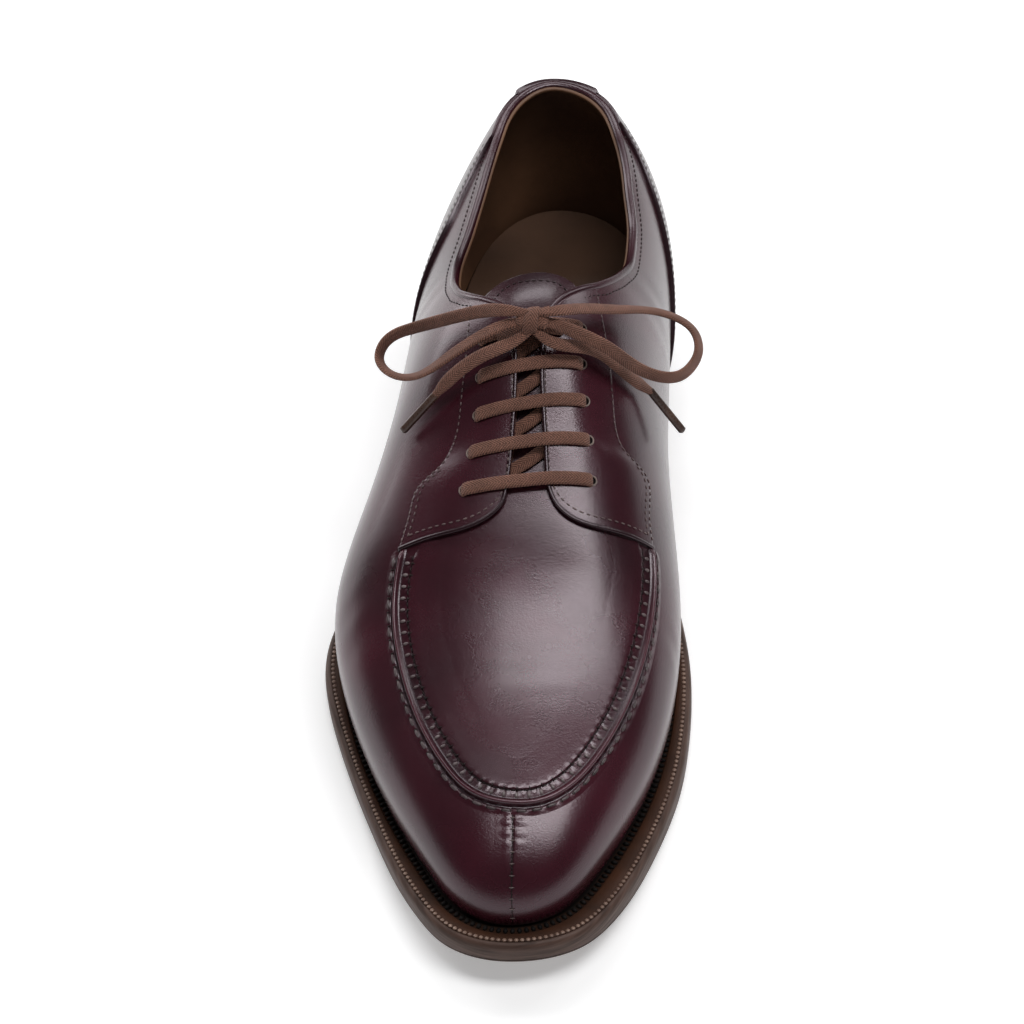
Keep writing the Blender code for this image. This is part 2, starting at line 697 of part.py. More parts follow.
def build_laces(parts):
    """The lace bars over the facings, and the bow above them."""
    height = 2.0 * GAP + OVERLAY + LACE_THICK / 2.0
    for number, (outer, down_outer, inner, down_inner) in enumerate(LACE_HOLES, 1):
        station = np.linspace(outer, inner, 11)
        share = np.linspace(-down_outer, down_inner, 11)
        turn = turn_of(station, FIRST, LAST_STATION)
        up = normals(turn, share)
        path = surface(turn, share) + height * up
        sweep("lace_bar_%d" % number, path, up, lace_section(), "lace_cotton", parts)
    for name, rows in BOW.items():
        path = path_points(rows, 10 + 3 * len(rows) if "loop" in name else 12)
        sweep(name, path, np.array(LACE_UP), lace_section(), "lace_cotton", parts)
    round_section = [(AGLET_RADIUS * np.cos(a), AGLET_RADIUS * np.sin(a))
                     for a in np.linspace(0.0, 2.0 * np.pi, 9)[:-1]]
    for name, rows in AGLETS.items():
        sweep(name, path_points(rows, 4), np.array(LACE_UP), round_section, "aglet_plastic", parts)
    build_knot(parts)


def build_knot(parts):
    """The knot, a flattened ball lying on the slope of the instep."""
    rows = 7
    columns = 12
    up = np.array(LACE_UP)
    front = np.array((0.0, -up[2], up[1]))
    points = [np.array(KNOT_CENTRE) + KNOT_RADII[2] * up]
    for i in range(1, rows):
        polar = np.pi * i / rows
        for j in range(columns):
            angle = 2.0 * np.pi * j / columns
            point = np.array(KNOT_CENTRE) + KNOT_RADII[2] * np.cos(polar) * up
            point[0] += KNOT_RADII[0] * np.sin(polar) * np.cos(angle)
            points.append(point + KNOT_RADII[1] * np.sin(polar) * np.sin(angle) * front)
    points.append(np.array(KNOT_CENTRE) - KNOT_RADII[2] * up)
    last = len(points) - 1
    faces = []
    for j in range(columns):
        k = (j + 1) % columns
        faces.append((0, 1 + j, 1 + k))
        for i in range(rows - 2):
            a = 1 + i * columns
            faces.append((a + j, a + columns + j, a + columns + k, a + k))
        faces.append((last, last - columns + k, last - columns + j))
    make_object("lace_knot", points, faces, "lace_cotton", parts)


def main():
    """Build every sub-part."""
    clear_scene()
    parts = bpy.data.collections.new("apron_derby_shoe")
    bpy.context.scene.collection.children.link(parts)
    build_bottom(parts)
    build_upper(parts)
    build_tongue(parts)
    build_facings(parts)
    build_counter(parts)
    build_apron_seam(parts)
    build_laces(parts)


main()
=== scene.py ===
"""Dresses a right split-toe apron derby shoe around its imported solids.

Every form is worked out in millimetres from the same last, sole and seam tables as the solids, then
placed in metres: the toe points to -Y, the inner side of the foot to +X and the floor is Z = 0.
"""
from __future__ import annotations

import logging
import math
from dataclasses import dataclass, field
from enum import Enum
from typing import Callable, Dict, List, Optional, Sequence, Tuple

import bmesh
import bpy
import numpy as np
from mathutils import Matrix, Vector

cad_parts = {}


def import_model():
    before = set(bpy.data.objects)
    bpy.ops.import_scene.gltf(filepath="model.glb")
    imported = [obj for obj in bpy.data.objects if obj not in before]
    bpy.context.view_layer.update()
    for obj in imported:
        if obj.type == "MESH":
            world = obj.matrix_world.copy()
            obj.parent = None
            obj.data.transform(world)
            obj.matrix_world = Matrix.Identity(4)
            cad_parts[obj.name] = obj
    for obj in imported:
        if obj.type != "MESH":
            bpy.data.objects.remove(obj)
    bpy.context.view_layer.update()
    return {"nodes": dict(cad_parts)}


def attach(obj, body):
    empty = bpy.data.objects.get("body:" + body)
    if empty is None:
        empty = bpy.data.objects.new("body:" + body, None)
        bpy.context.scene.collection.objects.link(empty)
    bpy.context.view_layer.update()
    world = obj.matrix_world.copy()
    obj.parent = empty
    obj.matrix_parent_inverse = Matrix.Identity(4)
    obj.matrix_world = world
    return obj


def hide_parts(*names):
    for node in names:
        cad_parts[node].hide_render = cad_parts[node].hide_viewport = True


LOG = logging.getLogger("apron_derby")
Array = np.ndarray
Curve = Callable[[Array], Array]
MM = 0.001
BODY = "root"


def smooth_step(first: float, last: float, value: Array) -> Array:
    """Ease from 0 at first to 1 at last."""
    share = np.clip((np.asarray(value, float) - first) / (last - first), 0.0, 1.0)
    return share * share * (3.0 - 2.0 * share)


def rounded(share: Array) -> Array:
    """Return the height of a quarter round, 0 at share 0 and 1 from share 1 on."""
    return np.sqrt(1.0 - (1.0 - np.clip(share, 0.0, 1.0)) ** 2)


def bell(distance: Array, width: float) -> Array:
    """Return a smooth peak, 1 at distance 0."""
    return np.exp(-(distance / width) ** 2)


def run_of(points: Array) -> Array:
    """Return the distance run along a polyline at each of its points."""
    return np.r_[0.0, np.cumsum(np.linalg.norm(np.diff(points, axis=0), axis=1))]


def spread(spans: Sequence[Tuple[float, float, int]]) -> Array:
    """Return rising values, even within each span of first, last and count."""
    return np.unique(np.concatenate([np.linspace(*span) for span in spans]))


def natural_spline(knots: Sequence[float], values: Sequence[float]) -> Curve:
    """Fit a natural cubic.

    Args:
        knots: Rising positions.
        values: The value at each position.

    Returns:
        A function of position.
    """
    knots = np.asarray(knots, float)
    values = np.asarray(values, float)
    count = len(knots)
    span = np.diff(knots)
    matrix = np.eye(count)
    right = np.zeros(count)
    for i in range(1, count - 1):
        matrix[i, i - 1:i + 2] = (span[i - 1], 2.0 * (span[i - 1] + span[i]), span[i])
        rise = (values[i + 1] - values[i]) / span[i]
        right[i] = 6.0 * (rise - (values[i] - values[i - 1]) / span[i - 1])
    bend = np.linalg.solve(matrix, right)

    def evaluate(at: Array) -> Array:
        """Return the cubic's value."""
        at = np.asarray(at, float)
        i = np.clip(np.searchsorted(knots, at) - 1, 0, count - 2)
        low = (knots[i + 1] - at) / span[i]
        high = (at - knots[i]) / span[i]
        curve = (low ** 3 - low) * bend[i] + (high ** 3 - high) * bend[i + 1]
        return low * values[i] + high * values[i + 1] + curve * span[i] ** 2 / 6.0

    return evaluate


def gentle_spline(knots: Sequence[float], values: Sequence[float]) -> Curve:
    """Fit a cubic that never overshoots its knots.

    Args:
        knots: Rising positions.
        values: The value at each position.

    Returns:
        A function of position.
    """
    knots = np.asarray(knots, float)
    values = np.asarray(values, float)
    span = np.diff(knots)
    rise = np.diff(values) / span
    slope = np.zeros(len(knots))
    for i in range(1, len(knots) - 1):
        if rise[i - 1] * rise[i] > 0.0:
            slope[i] = 2.0 * rise[i - 1] * rise[i] / (rise[i - 1] + rise[i])

    def evaluate(at: Array) -> Array:
        """Return the cubic's value."""
        at = np.clip(np.asarray(at, float), knots[0], knots[-1])
        i = np.clip(np.searchsorted(knots, at) - 1, 0, len(span) - 1)
        t = (at - knots[i]) / span[i]
        start = (1.0 + 2.0 * t) * (1.0 - t) ** 2 * values[i] + t * (1.0 - t) ** 2 * span[i] * slope[i]
        end = t * t * (3.0 - 2.0 * t) * values[i + 1] - t * t * (1.0 - t) * span[i] * slope[i + 1]
        return start + end

    return evaluate


def path_points(rows: Sequence[Sequence[float]], count: int) -> Array:
    """Spread points evenly along a smooth curve.

    Args:
        rows: Points that the curve passes.
        count: How many points to return.

    Returns:
        An array of points.
    """
    rows = np.asarray(rows, float)
    steps = run_of(rows)
    curves = [natural_spline(steps, rows[:, k]) for k in range(rows.shape[1])]
    fine = np.stack([curve(np.linspace(0.0, steps[-1], 400)) for curve in curves], axis=1)
    return even_points(fine, count)


def even_points(rows: Array, count: int) -> Array:
    """Spread points evenly along a polyline.

    Args:
        rows: The polyline.
        count: How many points to return.

    Returns:
        An array of points.
    """
    run = run_of(rows)
    at = np.linspace(0.0, run[-1], count)
    return np.stack([np.interp(at, run, rows[:, k]) for k in range(rows.shape[1])], axis=1)


def turn_of(station: Array, first: float, last: float) -> Array:
    """Return the angle from 0 at the first station to pi at the last."""
    share = (np.asarray(station, float) - first) / (last - first)
    return np.arccos(np.clip(1.0 - 2.0 * share, -1.0, 1.0))


def station_of(turn: Array, first: float, last: float) -> Array:
    """Return the station at an angle."""
    return first + (last - first) * (1.0 - np.cos(turn)) / 2.0


def table_column(rows: Array, index: int, odd_at_toe: bool, odd_at_heel: bool) -> Curve:
    """Fit a table's column, mirrored about both ends.

    Args:
        rows: The table, with stations in its first column.
        index: Which column.
        odd_at_toe: Whether the value changes sign past the toe.
        odd_at_heel: Whether it changes sign past the heel.

    Returns:
        A function of the angle.
    """
    turns = turn_of(rows[:, 0], rows[0, 0], rows[-1, 0])
    values = rows[:, index]
    toe = -1.0 if odd_at_toe else 1.0
    heel = -1.0 if odd_at_heel else 1.0
    knots = np.r_[-turns[3:0:-1], turns, 2.0 * np.pi - turns[-2:-5:-1]]
    return natural_spline(knots, np.r_[toe * values[3:0:-1], values, heel * values[-2:-5:-1]])


LAST_TABLE = np.array((
    # station, outer, inner, tuck, bulge, crown, square, shift
    (8.5, 0.0, 0.0, 0.0, 0.0, 0.0, 2.30, 0.0),
    (17.0, 17.5, 18.5, 0.8, 5.0, 17.5, 2.30, 0.0),
    (28.0, 25.5, 25.8, 1.5, 8.0, 24.0, 2.30, 0.0),
    (46.0, 36.5, 34.5, 2.2, 10.0, 30.9, 2.30, 0.0),
    (66.0, 46.5, 41.5, 2.8, 12.0, 36.0, 2.30, 0.0),
    (90.0, 55.5, 45.8, 3.4, 14.0, 43.8, 2.25, 0.0),
    (104.0, 58.7, 46.7, 3.7, 15.0, 49.6, 2.20, 0.0),
    (118.0, 59.5, 46.6, 4.2, 16.0, 56.6, 2.15, 0.0),
    (150.0, 52.8, 43.5, 6.5, 18.0, 71.0, 2.05, 0.0),
    (180.0, 46.3, 40.8, 8.5, 19.0, 80.5, 2.00, 0.0),
    (198.0, 44.6, 40.6, 8.5, 19.0, 76.5, 2.00, 2.0),
    (216.0, 43.0, 40.4, 7.5, 19.0, 68.5, 2.00, 4.0),
    (236.0, 40.4, 40.0, 6.0, 18.0, 63.8, 2.00, 4.5),
    (256.0, 36.0, 37.9, 4.6, 18.0, 64.2, 2.00, 4.5),
    (280.0, 26.2, 29.4, 2.6, 18.0, 70.5, 2.00, 2.5),
    (296.5, 0.0, 0.0, 0.0, 18.0, 76.0, 2.00, 0.0),
))
SOLE_TABLE = np.array((
    # station, outer, inner
    (0.0, 0.0, 0.0),
    (6.5, 18.9, 21.3),
    (15.6, 26.6, 29.2),
    (27.1, 33.7, 35.3),
    (48.0, 43.6, 42.9),
    (66.1, 51.3, 47.6),
    (86.2, 58.8, 49.9),
    (115.0, 64.2, 49.3),
    (150.0, 54.0, 42.2),
    (185.0, 42.8, 36.2),
    (215.0, 39.0, 35.9),
    (250.0, 36.0, 36.9),
    (282.0, 25.6, 28.0),
    (300.0, 0.0, 0.0),
))
OPENING_TABLE = np.array((
    # station, outer, inner
    (127.6, 0.000, 0.000),
    (129.6, 0.036, 0.050),
    (132.0, 0.046, 0.066),
    (142.0, 0.037, 0.056),
    (155.0, 0.036, 0.046),
    (168.0, 0.042, 0.044),
    (174.0, 0.056, 0.056),
    (178.0, 0.080, 0.076),
    (183.5, 0.165, 0.113),
    (188.5, 0.243, 0.168),
    (195.0, 0.313, 0.248),
    (205.0, 0.362, 0.318),
    (216.0, 0.378, 0.358),
    (231.0, 0.360, 0.362),
    (250.0, 0.350, 0.335),
    (270.0, 0.352, 0.330),
    (284.0, 0.378, 0.360),
    (296.5, 0.397, 0.397),
))
COUNTER_TABLE = np.array((
    # share, outer, inner
    (0.00, 271.0, 276.0),
    (0.10, 262.0, 271.0),
    (0.22, 242.0, 259.0),
    (0.36, 232.0, 249.0),
    (0.52, 224.0, 238.0),
    (0.75, 212.0, 221.0),
    (1.00, 202.0, 208.0),
))
APRON_TABLE = np.array((
    # station, share
    (119.0, -0.330),
    (112.0, -0.345),
    (98.0, -0.366),
    (80.5, -0.365),
    (64.0, -0.342),
    (50.0, -0.292),
    (40.7, -0.218),
    (36.0, -0.100),
    (34.9, 0.020),
    (36.9, 0.182),
    (44.0, 0.297),
    (59.9, 0.382),
    (80.0, 0.437),
    (103.0, 0.475),
    (118.0, 0.478),
    (126.5, 0.465),
))
TONGUE_TABLE = np.array((
    # station, share
    (113.0, 0.120),
    (122.0, 0.165),
    (145.0, 0.180),
    (176.0, 0.215),
    (186.0, 0.225),
    (192.0, 0.170),
    (195.2, 0.090),
    (196.4, 0.012),
))
LACE_HOLES = (
    # outer station, outer share, inner station, inner share
    (128.0, 0.157, 132.5, 0.214),
    (138.6, 0.148, 143.8, 0.205),
    (149.0, 0.142, 154.5, 0.197),
    (159.4, 0.144, 164.5, 0.190),
    (170.0, 0.150, 175.0, 0.190),
)
EDGES = {
    "facing_outer": {
        "front": ((127.5, 0.052), (123.5, 0.060), (119.5, 0.096), (117.0, 0.150), (115.8, 0.230),
                  (114.5, 0.358)),
        "side": ((114.5, 0.358), (119.5, 0.344), (125.5, 0.334), (132.0, 0.322), (136.5, 0.262),
                 (142.5, 0.228), (155.0, 0.222), (172.0, 0.225), (188.2, 0.245)),
        "throat": ((127.5, 0.052), (134.0, 0.046), (150.0, 0.041), (166.0, 0.043), (174.5, 0.062)),
        "top": ((174.5, 0.062), (178.5, 0.090), (184.0, 0.176), (188.2, 0.245)),
    },
    "facing_inner": {
        "front": ((130.0, 0.074), (126.0, 0.090), (122.3, 0.122), (119.8, 0.180), (119.4, 0.270),
                  (121.6, 0.488)),
        "side": ((121.6, 0.488), (126.5, 0.478), (132.0, 0.474), (143.0, 0.480), (145.4, 0.415),
                 (148.0, 0.357), (158.0, 0.336), (174.0, 0.318), (193.5, 0.235)),
        "throat": ((130.0, 0.074), (139.0, 0.064), (150.0, 0.054), (166.0, 0.048), (175.0, 0.064)),
        "top": ((175.0, 0.064), (179.5, 0.088), (187.5, 0.160), (193.5, 0.235)),
    },
}
BOW = {
    "lace_loop_outer": ((-5.2, 169.0, 104.0), (-13.0, 171.6, 101.4), (-22.0, 174.0, 96.6),
                        (-37.1, 177.1, 88.0), (-45.2, 175.2, 84.0), (-47.2, 172.0, 80.5),
                        (-43.4, 166.2, 79.5), (-37.1, 163.1, 81.0), (-24.9, 162.6, 90.2),
                        (-13.4, 165.6, 97.4), (-5.2, 167.6, 100.2)),
    "lace_loop_inner": ((7.4, 169.0, 104.0), (16.0, 174.6, 99.8), (26.0, 180.6, 93.8),
                        (42.3, 187.9, 84.0), (48.9, 184.7, 81.0), (50.6, 179.7, 78.0),
                        (48.2, 173.3, 76.4), (44.1, 168.4, 77.4), (34.6, 165.5, 82.4),
                        (22.9, 163.7, 94.9), (13.7, 165.6, 99.0), (7.4, 167.6, 100.2)),
    "lace_end_outer": ((-4.2, 163.6, 96.6), (-13.0, 159.4, 95.0), (-24.4, 156.0, 86.7),
                       (-28.6, 154.4, 81.8)),
    "lace_end_inner": ((6.4, 163.8, 96.6), (18.8, 166.2, 91.0), (28.8, 166.4, 80.8),
                       (36.4, 168.4, 70.6)),
}
AGLETS = {
    "aglet_outer": ((-28.2, 154.5, 82.3), (-38.6, 151.2, 70.1)),
    "aglet_inner": ((36.0, 168.4, 71.2), (45.8, 165.2, 57.2)),
}


class Side(Enum):
    """The two sides of the foot, with the sign of their shares."""

    OUTER = -1.0
    INNER = 1.0

    @property
    def column(self) -> int:
        """Return this side's column in a table of station, outer, inner."""
        return 1 if self is Side.OUTER else 2


@dataclass
class Last:
    """The form of the foot that the shoe is made on, and the sole under it."""

    sole_length: float = 300.0
    toe_extension: float = 8.5
    heel_extension: float = 3.5
    toe_spring: float = 9.0
    toe_spring_start: float = 88.0
    toe_spring_power: float = 2.2
    heel_pitch: float = 21.0
    pitch_start: float = 122.0
    pitch_end: float = 262.0
    feather: float = 8.3
    back_lean: float = 5.0
    back_bulge: float = 26.0
    first: float = field(init=False)
    last: float = field(init=False)

    def __post_init__(self) -> None:
        """Fit the table's columns."""
        self.first = self.toe_extension
        self.last = self.sole_length - self.heel_extension
        self.outer = table_column(LAST_TABLE, 1, True, True)
        self.inner = table_column(LAST_TABLE, 2, True, True)
        self.tuck = table_column(LAST_TABLE, 3, True, True)
        self.bulge = table_column(LAST_TABLE, 4, True, False)
        self.crown = table_column(LAST_TABLE, 5, True, False)
        self.square = table_column(LAST_TABLE, 6, False, False)
        self.shift = table_column(LAST_TABLE, 7, True, False)
        self.sole_outer = table_column(SOLE_TABLE, 1, True, True)
        self.sole_inner = table_column(SOLE_TABLE, 2, True, True)
        self.opening = {side: gentle_spline(OPENING_TABLE[:, 0], OPENING_TABLE[:, side.column])
                        for side in Side}
        turn = np.linspace(0.0, np.pi, 400)
        middle = (self.sole_inner(turn).max() - self.sole_outer(turn).max()) / 2.0
        self.centre = np.array((middle, self.sole_length / 2.0, 0.0))

    def place(self, points: Array) -> Array:
        """Turn millimetre points into metres about the middle of the sole."""
        return (np.asarray(points, float) - self.centre) * MM

    def turn_at(self, station: Array) -> Array:
        """Return the upper's angle at a station."""
        return turn_of(station, self.first, self.last)

    def station_at(self, turn: Array) -> Array:
        """Return the upper's station at an angle."""
        return station_of(turn, self.first, self.last)

    def sole_bottom(self, station: Array) -> Array:
        """Return the height of the outsole's underside."""
        station = np.asarray(station, float)
        lift = np.clip((self.toe_spring_start - station) / self.toe_spring_start, 0.0, None)
        pitch = self.heel_pitch * smooth_step(self.pitch_start, self.pitch_end, station)
        return self.toe_spring * lift ** self.toe_spring_power + pitch

    def surface(self, turn: Array, share: Array) -> Array:
        """Work out points of the upper's outside.

        Args:
            turn: The angle along the foot, 0 at the toe and pi at the back.
            share: The signed share of the way from crown to feather, negative on the outer side.

        Returns:
            Points in millimetres.
        """
        turn, share = np.broadcast_arrays(np.asarray(turn, float), np.asarray(share, float))
        station = self.station_at(turn)
        down = np.abs(share)
        width = np.maximum(np.where(share < 0.0, self.outer(turn), self.inner(turn)), 0.0)
        bulge = np.maximum(self.bulge(turn), 0.0)
        rise = np.maximum(self.crown(turn) - bulge, 1e-6)
        power = self.square(turn)
        arc = np.pi / 2.0 * np.sqrt((width ** 2 + rise ** 2) / 2.0)
        knee = arc / (arc + bulge + 1e-9)
        angle = np.pi / 2.0 * (1.0 - np.clip(down / knee, 0.0, 1.0))
        cosine = np.abs(np.cos(angle))
        sine = np.abs(np.sin(angle))
        reach = (cosine ** power + sine ** power) ** (-1.0 / power)
        below = np.clip((down - knee) / np.maximum(1.0 - knee, 1e-9), 0.0, 1.0)
        tuck = np.minimum(self.tuck(turn), width) * below ** 2.4
        side = np.where(down <= knee, width * reach * cosine, width - tuck)
        height = np.where(down <= knee, bulge + rise * reach * sine, bulge * (1.0 - below))
        lift = np.clip((height - bulge) / rise, 0.0, 1.0)
        x = np.where(share < 0.0, -side, side) + self.shift(turn) * lift ** 2
        above = (height - self.back_bulge) / 40.0
        lean = self.back_lean * above ** 2 * np.where(above > 0.0, 1.0, 0.5)
        lean = lean * smooth_step(225.0, 296.0, station)
        return np.stack([x, station - lean, height + self.sole_bottom(station) + self.feather], axis=-1)

    def normals(self, turn: Array, share: Array) -> Array:
        """Work out outward unit normals of the upper's outside.

        Args:
            turn: The angle along the foot.
            share: The signed share of the way from crown to feather.

        Returns:
            Unit vectors.
        """
        turn, share = np.broadcast_arrays(np.asarray(turn, float), np.asarray(share, float))
        step = 4e-4
        low = np.clip(turn - step, 1e-3, np.pi)
        along = self.surface(np.clip(turn + step, 2e-3, np.pi), share) - self.surface(low, share)
        upper = np.clip(share - step, -1.0, 1.0)
        lower = np.clip(share + step, -1.0, 1.0)
        across = self.surface(turn, lower) - self.surface(turn, upper)
        cross = np.cross(across, along)
        length = np.linalg.norm(cross, axis=-1, keepdims=True)
        toe = np.array((0.0, -1.0, 0.0))
        facing = np.where(length > 1e-12, cross / np.maximum(length, 1e-12), toe)
        return np.where(turn[..., None] < 0.01, toe, facing)

    def skin(self, station: Array, share: Array, offset: Array) -> Array:
        """Work out points at an offset outside the upper's surface.

        Args:
            station: Stations of the points.
            share: Their signed shares.
            offset: Their distance outside the surface.

        Returns:
            Points in millimetres.
        """
        turn = self.turn_at(station)
        offset = np.asarray(offset, float)
        offset = offset[..., None] if offset.ndim else offset
        return self.surface(turn, share) + offset * self.normals(turn, share)

    def ups(self, station: Array, share: Array) -> Array:
        """Return outward normals at stations and shares."""
        return self.normals(self.turn_at(station), share)

    def beside(self, line: Array, distance: Array) -> Array:
        """Move a line sideways on the surface.

        Args:
            line: Rows of station and share.
            distance: How far, to the right of the line's run as seen from outside.

        Returns:
            The moved rows.
        """
        station, share = line[:, 0], line[:, 1]
        along = unit(np.gradient(self.skin(station, share, 0.0), axis=0))
        side = np.cross(along, self.ups(station, share))
        ahead = (self.skin(station + 0.05, share, 0.0) - self.skin(station - 0.05, share, 0.0)) / 0.1
        down = (self.skin(station, share + 5e-4, 0.0) - self.skin(station, share - 5e-4, 0.0)) / 1e-3
        first, cross, last = np.sum(ahead * ahead, 1), np.sum(ahead * down, 1), np.sum(down * down, 1)
        one, two = np.sum(ahead * side, 1), np.sum(down * side, 1)
        scale = np.maximum(first * last - cross ** 2, 1e-9)
        move = np.stack([one * last - two * cross, first * two - cross * one], axis=1) / scale[:, None]
        moved = line + move * np.broadcast_to(distance, station.shape)[:, None]
        moved[:, 0] = np.clip(moved[:, 0], self.first + 0.02, self.last)
        moved[:, 1] = np.clip(moved[:, 1], -1.0, 1.0)
        return moved

    def even_line(self, rows: Sequence[Sequence[float]], step: float) -> Array:
        """Spread stations and shares evenly along a smooth line through the rows."""
        fine = path_points(np.asarray(rows, float) * (1.0, 100.0), 900) / (1.0, 100.0)
        run = run_of(self.skin(fine[:, 0], fine[:, 1], 0.0))
        at = np.linspace(0.0, run[-1], int(run[-1] / step) + 2)
        return np.stack([np.interp(at, run, fine[:, k]) for k in range(2)], axis=1)

    def row_on(self, line: Array, offset: Array) -> Tuple[Array, Array]:
        """Return a line's points at an offset, and its up directions."""
        return self.skin(line[:, 0], line[:, 1], offset), self.ups(line[:, 0], line[:, 1])

    def inset_pair(self, outer: Array, inner: Array, inset: Array) -> Tuple[Array, Array]:
        """Move a closed outline inwards.

        Args:
            outer: The outer side in plan, from toe to heel.
            inner: The inner side in plan, from toe to heel.
            inset: How far to move it.

        Returns:
            The two moved sides.
        """
        loop = np.concatenate([outer, inner[-2:0:-1]])
        ahead = np.roll(loop, -1, axis=0) - np.roll(loop, 1, axis=0)
        ahead /= np.linalg.norm(ahead, axis=1, keepdims=True)
        inward = np.stack([ahead[:, 1], -ahead[:, 0]], axis=1)
        if np.sum(inward * (self.centre[:2] - loop)) < 0.0:
            inward = -inward
        moved = loop + inset * inward
        count = len(outer)
        back = np.concatenate([moved[:1], moved[count:][::-1], moved[count - 1:count]])
        return moved[:count], back

    def sole_edge(self, turn: Array, inset: Array) -> Tuple[Array, Array]:
        """Return both sides of the sole's outline, moved in by an inset."""
        station = station_of(turn, 0.0, self.sole_length)
        outer = np.stack([-self.sole_outer(turn), station], axis=1)
        inner = np.stack([self.sole_inner(turn), station], axis=1)
        return self.inset_pair(outer, inner, inset)

    def feather_edge(self, turn: Array, inset: float) -> Tuple[Array, Array]:
        """Return both sides of the upper's bottom edge in plan, moved in by an inset."""
        outer = self.surface(turn, -1.0)[:, :2]
        inner = self.surface(turn, 1.0)[:, :2]
        return self.inset_pair(outer, inner, inset)


def loop_of(pair: Tuple[Array, Array]) -> Array:
    """Join two sides into one closed outline."""
    return np.concatenate([pair[0], pair[1][-2:0:-1]])


@dataclass
class Form:
    """Points and faces of a piece in millimetres, with values at its points."""

    points: Array
    faces: List[Tuple[int, ...]]
    values: Dict[str, Array] = field(default_factory=dict)

    def joined(self, other: "Form") -> "Form":
        """Return this form and another as one."""
        shift = len(self.points)
        faces = list(self.faces) + [tuple(corner + shift for corner in face) for face in other.faces]
        values = {key: np.concatenate([self.values[key], other.values[key]]) for key in self.values}
        return Form(np.concatenate([self.points, other.points]), faces, values)


def grid_faces(rows: int, columns: int, wrap: bool = False) -> Array:
    """List the quads of a grid of points stored row by row.

    Args:
        rows: How many rows there are.
        columns: How many points a row has.
        wrap: Whether a row's last point joins its first.

    Returns:
        Four point numbers for each quad.
    """
    i, j = np.meshgrid(np.arange(rows - 1), np.arange(columns if wrap else columns - 1), indexing="ij")
    a = i * columns + j
    b = i * columns + (j + 1) % columns
    return np.stack([a, b, b + columns, a + columns], axis=-1).reshape(-1, 4)


def close_sheet(outside: Array, inside: Array, faces: Array,
                values: Optional[Dict[str, Array]] = None) -> Form:
    """Make a closed form between two sheets of one layout.

    Args:
        outside: The outer sheet's points.
        inside: The inner sheet's points.
        faces: The sheet's quads.
        values: Values at the sheet's points.

    Returns:
        The closed form, welded where sheet points share a place.
    """
    _, first, index = np.unique(np.round(outside, 4), axis=0, return_index=True, return_inverse=True)
    index = index.ravel()
    sheet: List[Tuple[int, ...]] = []
    for face in index[np.asarray(faces)].tolist():
        ring = tuple(dict.fromkeys(face))
        if len(ring) > 2:
            sheet.append(ring)
    count = len(first)
    edges = {(a, b) for face in sheet for a, b in zip(face, face[1:] + face[:1])}
    closed = list(sheet)
    closed += [tuple(corner + count for corner in face[::-1]) for face in sheet]
    closed += [(b, a, a + count, b + count) for a, b in sorted(edges) if (b, a) not in edges]
    kept = {key: np.tile(value[first], (2,) + (1,) * (value.ndim - 1))
            for key, value in (values or {}).items()}
    return Form(np.concatenate([outside[first], inside[first]]), closed, kept)


def laid_strip(rows: Sequence[Tuple[Array, Array, Array]], depth: float) -> Form:
    """Make a closed strip that lies on the upper.

    Args:
        rows: Lines of station and share across the strip, each with its height and its darkening (polish and
            painted shade).
        depth: How far the strip's underside lies under the upper's surface.

    Returns:
        The closed form.
    """
    top = [SHOE.skin(line[:, 0], line[:, 1], height) for line, height, _ in rows]
    low = [SHOE.skin(line[:, 0], line[:, 1], np.full(len(line), -depth)) for line, _, _ in rows]
    dark = np.concatenate([burnish_and_painted_light for _, _, burnish_and_painted_light in rows])
    faces = grid_faces(len(rows), len(rows[0][0]))
    return close_sheet(np.concatenate(top), np.concatenate(low), faces, {"burnish_and_painted_light": dark})


def loft(rings: Array, capped: bool, values: Optional[Dict[str, Array]] = None, skip: int = 0) -> Form:
    """Join closed rings in turn.

    Args:
        rings: Rings of points, ring by ring.
        capped: True closes both end rings across their two sides; False joins the last ring to the first.
        values: Values at the points, laid out as the rings.
        skip: 1 where a ring's first point faces its last one, 0 where it stands alone.

    Returns:
        The closed form.
    """
    count, size = rings.shape[:2]
    faces = [tuple(face) for face in grid_faces(count, size, True).tolist()]
    if capped:
        for start in (0, (count - 1) * size):
            for i in range((size - skip) // 2):
                back = size - skip - i
                ring = [start + i, start + i + 1, start + (back - 1) % size, start + back % size]
                ring = list(dict.fromkeys(ring))
                if len(ring) > 2:
                    faces.append(tuple(ring))
    else:
        last = (count - 1) * size
        faces += [(last + i, last + (i + 1) % size, (i + 1) % size, i) for i in range(size)]
    kept = {key: value.reshape((count * size,) + value.shape[2:]) for key, value in (values or {}).items()}
    return Form(rings.reshape(-1, 3), faces, kept)


def unit(vectors: Array) -> Array:
    """Return vectors at unit length."""
    return vectors / np.maximum(np.linalg.norm(vectors, axis=-1, keepdims=True), 1e-12)


